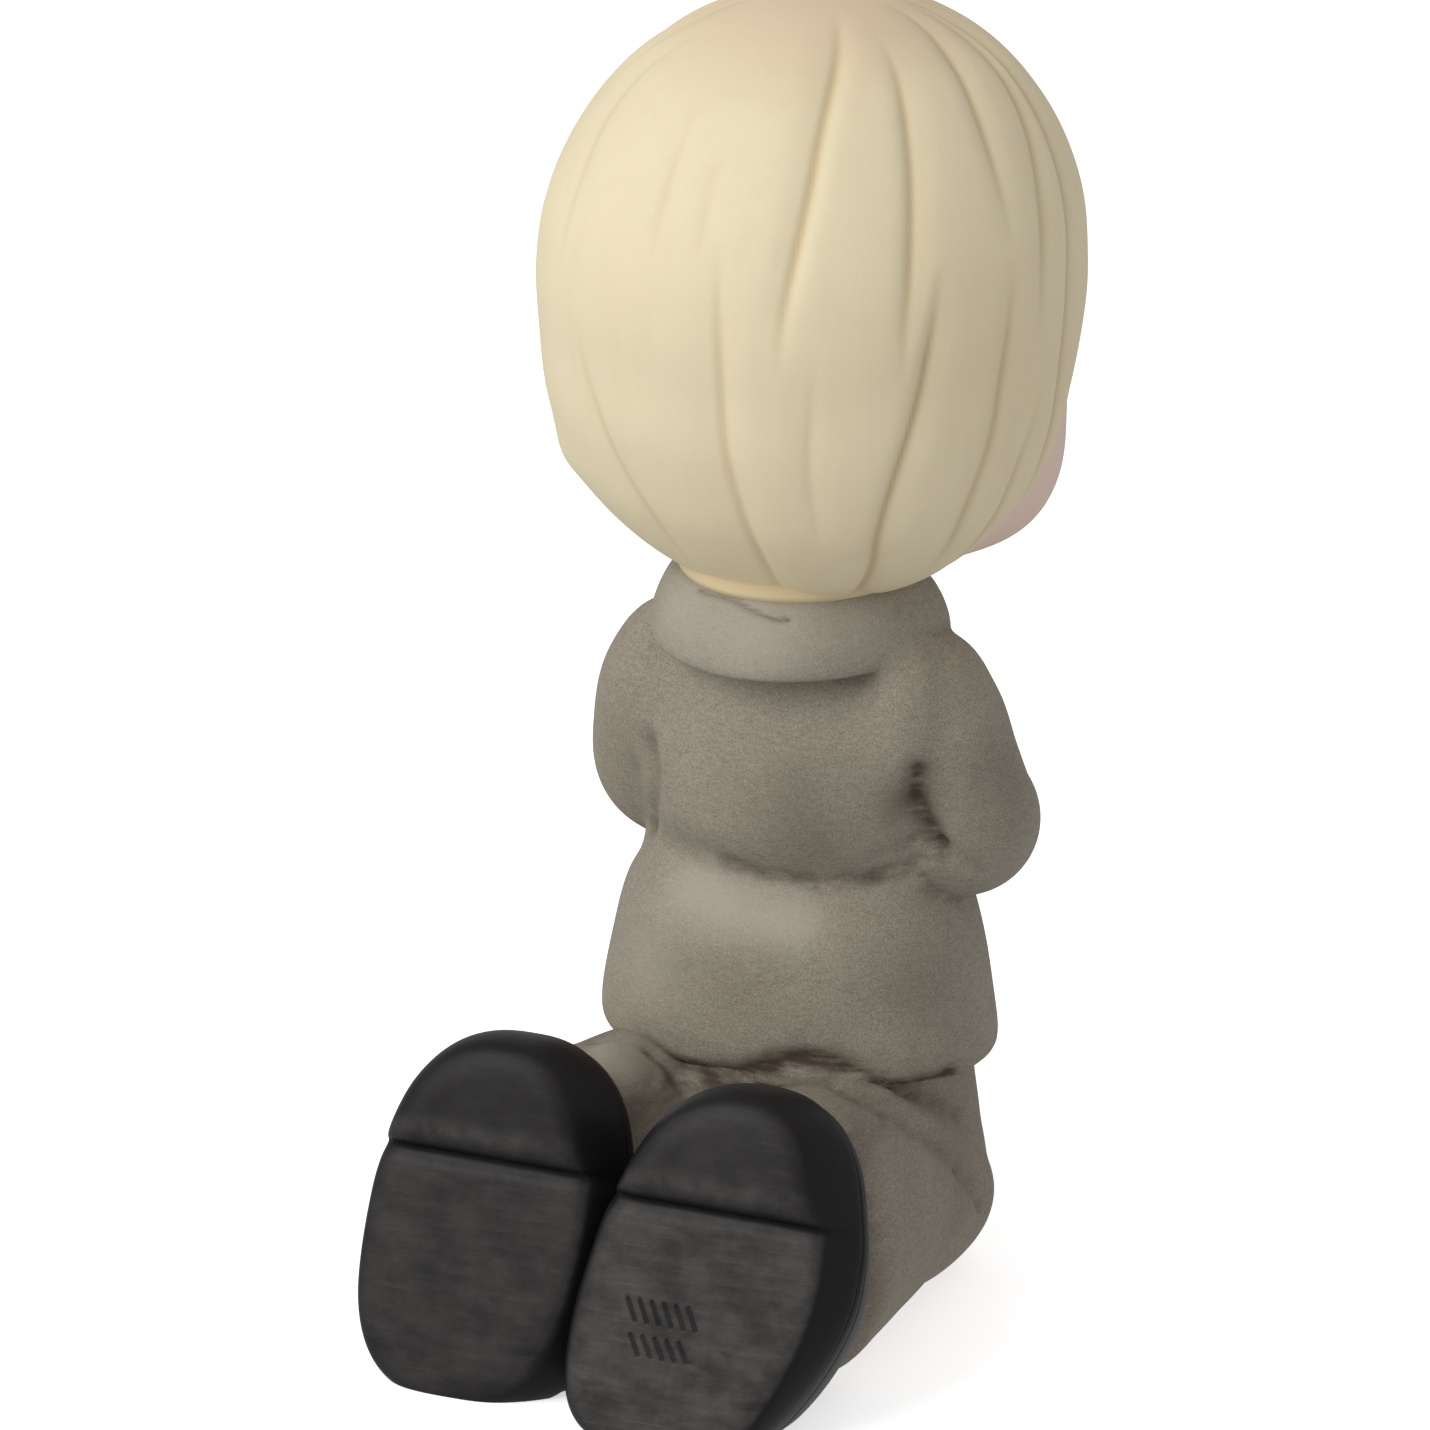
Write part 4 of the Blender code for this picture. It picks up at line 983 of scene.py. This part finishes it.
def face_point(share, turn):
    point = head_point(share, turn)
    out = 3.0 * bump((Vector((abs(point.x), point.y, point.z)) - CHEEK).length, 8.0)
    if point.y < 0:
        nose_reach = 2.7 if point.z > NOSE_HEIGHT else 1.6
        nose = bump(point.x, 1.6) * bump(point.z - NOSE_HEIGHT, nose_reach)
        mouth = bump(point.x, 3.2) * bump(point.z - MOUTH_HEIGHT, 0.9)
        socket = bump(abs(point.x) - EYE_OUT, 3.3) * bump(point.z - EYE_HEIGHT, 2.7)
        out += 1.9 * nose - 0.38 * mouth - 0.44 * socket
    return head_point(share, turn, out)


head = ball("head", 200, 220, face_point)
neck_sections = [(-8.0, 0.0), (-7.0, 9.0), (2.0, 10.6), (6.0, 11.0), (8.0, 0.0)]


def neck_point(share, turn):
    above, wide = along(neck_sections, share)
    return wide * math.cos(turn), wide * math.sin(turn) - 0.6, NECK_ROOT + above


head = joined("head", (head, ball("neck", 30, 60, neck_point)))

complexion, tree, shader, tone = skin_paint("face_paint")
spot = node(tree, "SeparateXYZ", Vector=node(tree, "TexCoord").outputs["Object"]).outputs
aside = sums(tree, "ABSOLUTE", sums(tree, "ADD", spot[0], CASTING_MIDDLE.x * MM))
ahead = between(tree, spot[1], -0.012, -0.020)


def stroke(out, height, radius, half_width, from_below, reach):
    """A painted arc, cut off beyond its reach: the lower part of a circle, or the upper."""
    dx = sums(tree, "SUBTRACT", aside, out * MM)
    dz = sums(tree, "SUBTRACT", spot[2], height * MM)
    away = sums(tree, "SQRT", sums(tree, "ADD", sums(tree, "POWER", dx, 2.0), sums(tree, "POWER", dz, 2.0)))
    off_line = sums(tree, "ABSOLUTE", sums(tree, "SUBTRACT", away, radius * MM))
    line = between(tree, off_line, half_width * MM, 0.6 * half_width * MM)
    sign = -1 if from_below else 1
    shown = between(tree, dz, sign * reach * MM, sign * (reach + 0.5) * MM)
    return sums(tree, "MULTIPLY", sums(tree, "MULTIPLY", line, shown), ahead)


blush_x = sums(tree, "POWER", sums(tree, "SUBTRACT", aside, 0.0140), 2.0)
blush_z = sums(tree, "POWER", sums(tree, "SUBTRACT", spot[2], 0.0790), 2.0)
blush = between(tree, sums(tree, "SQRT", sums(tree, "ADD", blush_x, blush_z)), 0.0085, 0.0)
tone = partly(tree, sums(tree, "MULTIPLY", blush, ahead), 0.55, tone, (0.78, 0.38, 0.31))
tone = over(tree, stroke(EYE_OUT, EYE_HEIGHT + 2.4, 3.6, 0.30, True, 1.6), tone, (0.10, 0.055, 0.035))
tone = over(tree, stroke(EYE_OUT + 0.4, EYE_HEIGHT + 1.0, 5.6, 0.22, False, 4.3), tone, (0.36, 0.24, 0.12))
tone = over(tree, stroke(0.0, MOUTH_HEIGHT + 3.4, 3.6, 0.28, True, 2.3), tone, (0.50, 0.17, 0.14))
tree.links.new(tone, shader.inputs["Base Color"])
into_place(head, complexion)

# Hair. A smooth thick cap of straight fair hair, parted into broad locks by grooves that run from the crown
# down to the nape and the fringe. It is one with the head, painted cream, and a thin tan is let into the
# grooves.
HAIR_THICKNESS = 1.1

# The lower edge: how far round the head, from -1 at the back to 1 in front, and its share of the height.
HAIRLINE = [
    (-1.0, -0.05),
    (-0.45, 0.0),
    (-0.15, 0.09),
    (0.08, 0.13),
    (0.16, 0.20),
    (0.25, 0.29),
    (0.45, 0.32),
    (0.60, 0.42),
    (0.72, 0.54),
    (0.85, 0.61),
    (1.0, 0.63),
]

# A groove is a list of (turn in degrees, share of the head's height) from its top down, its depth, the half
# width of its soft valley towards the boy's left and towards his right, and how dark its line is.
HAIR_GROOVES = [
    (
        [(130, 0.93), (123.5, 0.87), (118.5, 0.80), (115.5, 0.72), (112.5, 0.64), (110.5, 0.57)],
        0.75, 1.9, 1.0, 0.75,
    ),
    ([(151, 0.88), (144, 0.78), (140, 0.685), (137, 0.56)], 0.50, 1.0, 1.6, 0.7),
    ([(192, 0.92), (185, 0.885), (174, 0.815), (168, 0.753), (166, 0.67)], 0.60, 1.2, 1.4, 0.6),
    ([(206, 0.90), (202, 0.86), (194, 0.795), (184, 0.725), (178, 0.66), (174, 0.56)], 0.60, 1.2, 1.4, 0.6),
    (
        [(146, 0.63), (143, 0.557), (140, 0.485), (136, 0.423), (132, 0.34), (135, 0.20), (137, 0.11)],
        0.65, 1.0, 1.6, 0.85,
    ),
    ([(166, 0.62), (162, 0.512), (160, 0.433), (155, 0.358), (156, 0.24)], 0.45, 1.2, 1.2, 0.7),
    ([(97, 0.65), (98, 0.56), (98, 0.453), (100, 0.383), (102, 0.28), (104, 0.16)], 0.75, 3.2, 1.6, 0.35),
    ([(118, 0.55), (116, 0.425), (118, 0.34)], 0.30, 1.6, 1.6, 0.25),
    ([(42, 0.86), (42, 0.765), (51, 0.68), (53, 0.62)], 0.35, 1.6, 1.6, 0.3),
    ([(79, 0.79), (80, 0.715), (82, 0.66)], 0.30, 1.4, 1.4, 0.3),
    ([(91, 0.75), (92, 0.65)], 0.28, 1.2, 1.2, 0.3),
    ([(61, 0.53), (68, 0.428), (76, 0.34), (77, 0.24)], 0.45, 2.2, 1.5, 0.4),
    ([(176, 0.47), (170, 0.40), (168, 0.30), (170, 0.22)], 0.35, 1.0, 1.0, 0.6),
    ([(218, 0.93), (208, 0.84), (196, 0.74), (188, 0.62), (184, 0.46), (182, 0.32)], 0.60, 1.2, 1.4, 0.7),
    ([(20, 0.92), (24, 0.70), (30, 0.42), (34, 0.26)], 0.55, 1.6, 1.2, 0.7),
    ([(2, 0.92), (4, 0.72), (8, 0.44), (12, 0.24)], 0.60, 1.2, 1.6, 0.8),
    ([(240, 0.95), (228, 0.84), (218, 0.70), (212, 0.56)], 0.60, 1.4, 1.2, 0.8),
    ([(262, 0.95), (250, 0.86), (242, 0.76), (238, 0.66)], 0.60, 1.2, 1.4, 0.8),
    ([(284, 0.95), (276, 0.86), (270, 0.76), (267, 0.68)], 0.65, 1.4, 1.2, 0.9),
    ([(306, 0.95), (300, 0.86), (296, 0.77), (294, 0.70)], 0.60, 1.2, 1.4, 0.8),
    ([(328, 0.94), (322, 0.84), (318, 0.72), (315, 0.62)], 0.60, 1.4, 1.2, 0.8),
    ([(346, 0.93), (342, 0.80), (338, 0.62), (335, 0.48)], 0.60, 1.2, 1.4, 0.8),
]


def hairline(ahead):
    for (start, low), (end, high) in zip(HAIRLINE, HAIRLINE[1:]):
        if ahead <= end:
            return CHIN_HEIGHT + HEAD_HEIGHT * mix(low, high, step(start, end, ahead))
    return CHIN_HEIGHT + HEAD_HEIGHT * HAIRLINE[-1][1]


@functools.cache
def grooves_across(share):
    """The grooves that cross the head at this share of its height, with the turn each lies at there."""
    crossing = []
    for line, depth, left, right, dark in HAIR_GROOVES:
        start, end = line[0][1], line[-1][1]
        if end - 0.06 < share < start + 0.03:
            fade = step(end - 0.06, end + 0.10, share) * (1.0 - step(start - 0.10, start + 0.03, share))
            spots = [share + offset for offset in (-0.036, -0.018, 0.0, 0.018, 0.036)]
            turns = [turn for turn, _ in reversed(line)]
            centre = np.mean(np.interp(spots, [high for _, high in reversed(line)], turns))
            crossing.append((math.radians(centre), depth * fade, left, right, dark * fade))
    return crossing


def groove_at(share, turn, radius):
    """How deep the grooves cut the hair at this place, and how much tan lies there."""
    deep = tan = 0.0
    for centre, depth, left, right, dark in grooves_across(share):
        aside = math.remainder(turn - centre, 2 * math.pi) * radius
        if abs(aside) < 8.0:
            valley = bump(aside, right if aside > 0 else left)
            edge = bump(aside, 0.42)
            deep = max(deep, depth * (0.62 * valley + 0.38 * edge))
            tan = max(tan, dark * (0.75 * edge + 0.25 * valley))
    return deep, tan


def hair_point(share, turn):
    edge = head_point(share, turn)
    ahead = -math.sin(turn)
    above = edge.z - hairline(ahead)
    thin = step(-0.3, 0.3, ahead) * (1.0 - step(0.70, 0.85, ahead)) * (1.0 - step(0.0, 12.0, above))
    deep, tan = groove_at(share, turn, math.hypot(edge.x, edge.y - HEAD_BACK_SET))
    swell = HAIR_THICKNESS * mix(1.0, 0.2, thin) - deep
    if edge.x > 0:
        swell += 0.6 * bump(share - 0.36, 0.03) * bump(math.degrees(turn) - 30.0, 16.0)
    tan_left.append(tan)
    return head_point(share, turn, mix(-2.2, swell, step(-0.45, 0.45, above)))


def nape_point(share, turn):
    """The ends of the hair on the nape, drawn in to the collar with a low rounded lip above it."""
    sections = [
        (1.6, 0.0, 0.0),
        (1.8, 9.0, 10.4),
        (2.9, 11.0, 12.3),
        (3.7, 11.4, 13.1),
        (4.4, 11.4, 13.0),
        (5.0, 11.3, 12.8),
        (6.4, 11.9, 13.3),
        (8.8, 13.6, 14.6),
        (9.2, 0.0, 0.0),
    ]
    above, half_width, back = along(sections, share)
    x, y = oval(turn, half_width, 0.6 * half_width, back)
    tan_left.append(0.82 + 0.2 * bump(above - 5.2, 0.6) + 0.4 * (1.0 - step(2.2, 3.2, above)))
    return x, y - 0.5, NECK_ROOT + above


tan_left = []
hair = joined("hair", (ball("hair", 196, 440, hair_point), ball("nape", 60, 160, nape_point)))
painted(hair, "tan", np.array(tan_left) + 1.2 * hollows(hair, 10))
cream, tree, shader = paint("hair_paint", 0.72)
shader.inputs["Specular IOR Level"].default_value = 0.25
where = node(tree, "TexCoord").outputs["Object"]
height = node(tree, "SeparateXYZ", Vector=where).outputs[2]
patches = between(tree, cloud(tree, 45.0, 3.0), 0.3, 0.7)
drawn_down = node(tree, "Mapping", Vector=where, Scale=(520.0, 520.0, 40.0)).outputs[0]
strands = cloud(tree, 1.0, 3.0, drawn_down, 0.6)
fair = over(tree, patches, (0.82, 0.725, 0.50), (0.79, 0.69, 0.465))
fair = partly(tree, between(tree, strands, 0.45, 0.75), 0.13, fair, (0.68, 0.57, 0.36))
fair = partly(tree, between(tree, height, 0.118, 0.1245), 0.6, fair, (0.70, 0.52, 0.36))
fair = partly(tree, kept(tree, "tan"), 0.75, fair, (0.56, 0.43, 0.24))
tree.links.new(fair, shader.inputs["Base Color"])
roughened(tree, shader, sums(tree, "ADD", strands, cloud(tree, 1800.0, 2.0)), 0.02)
into_place(hair, cream)
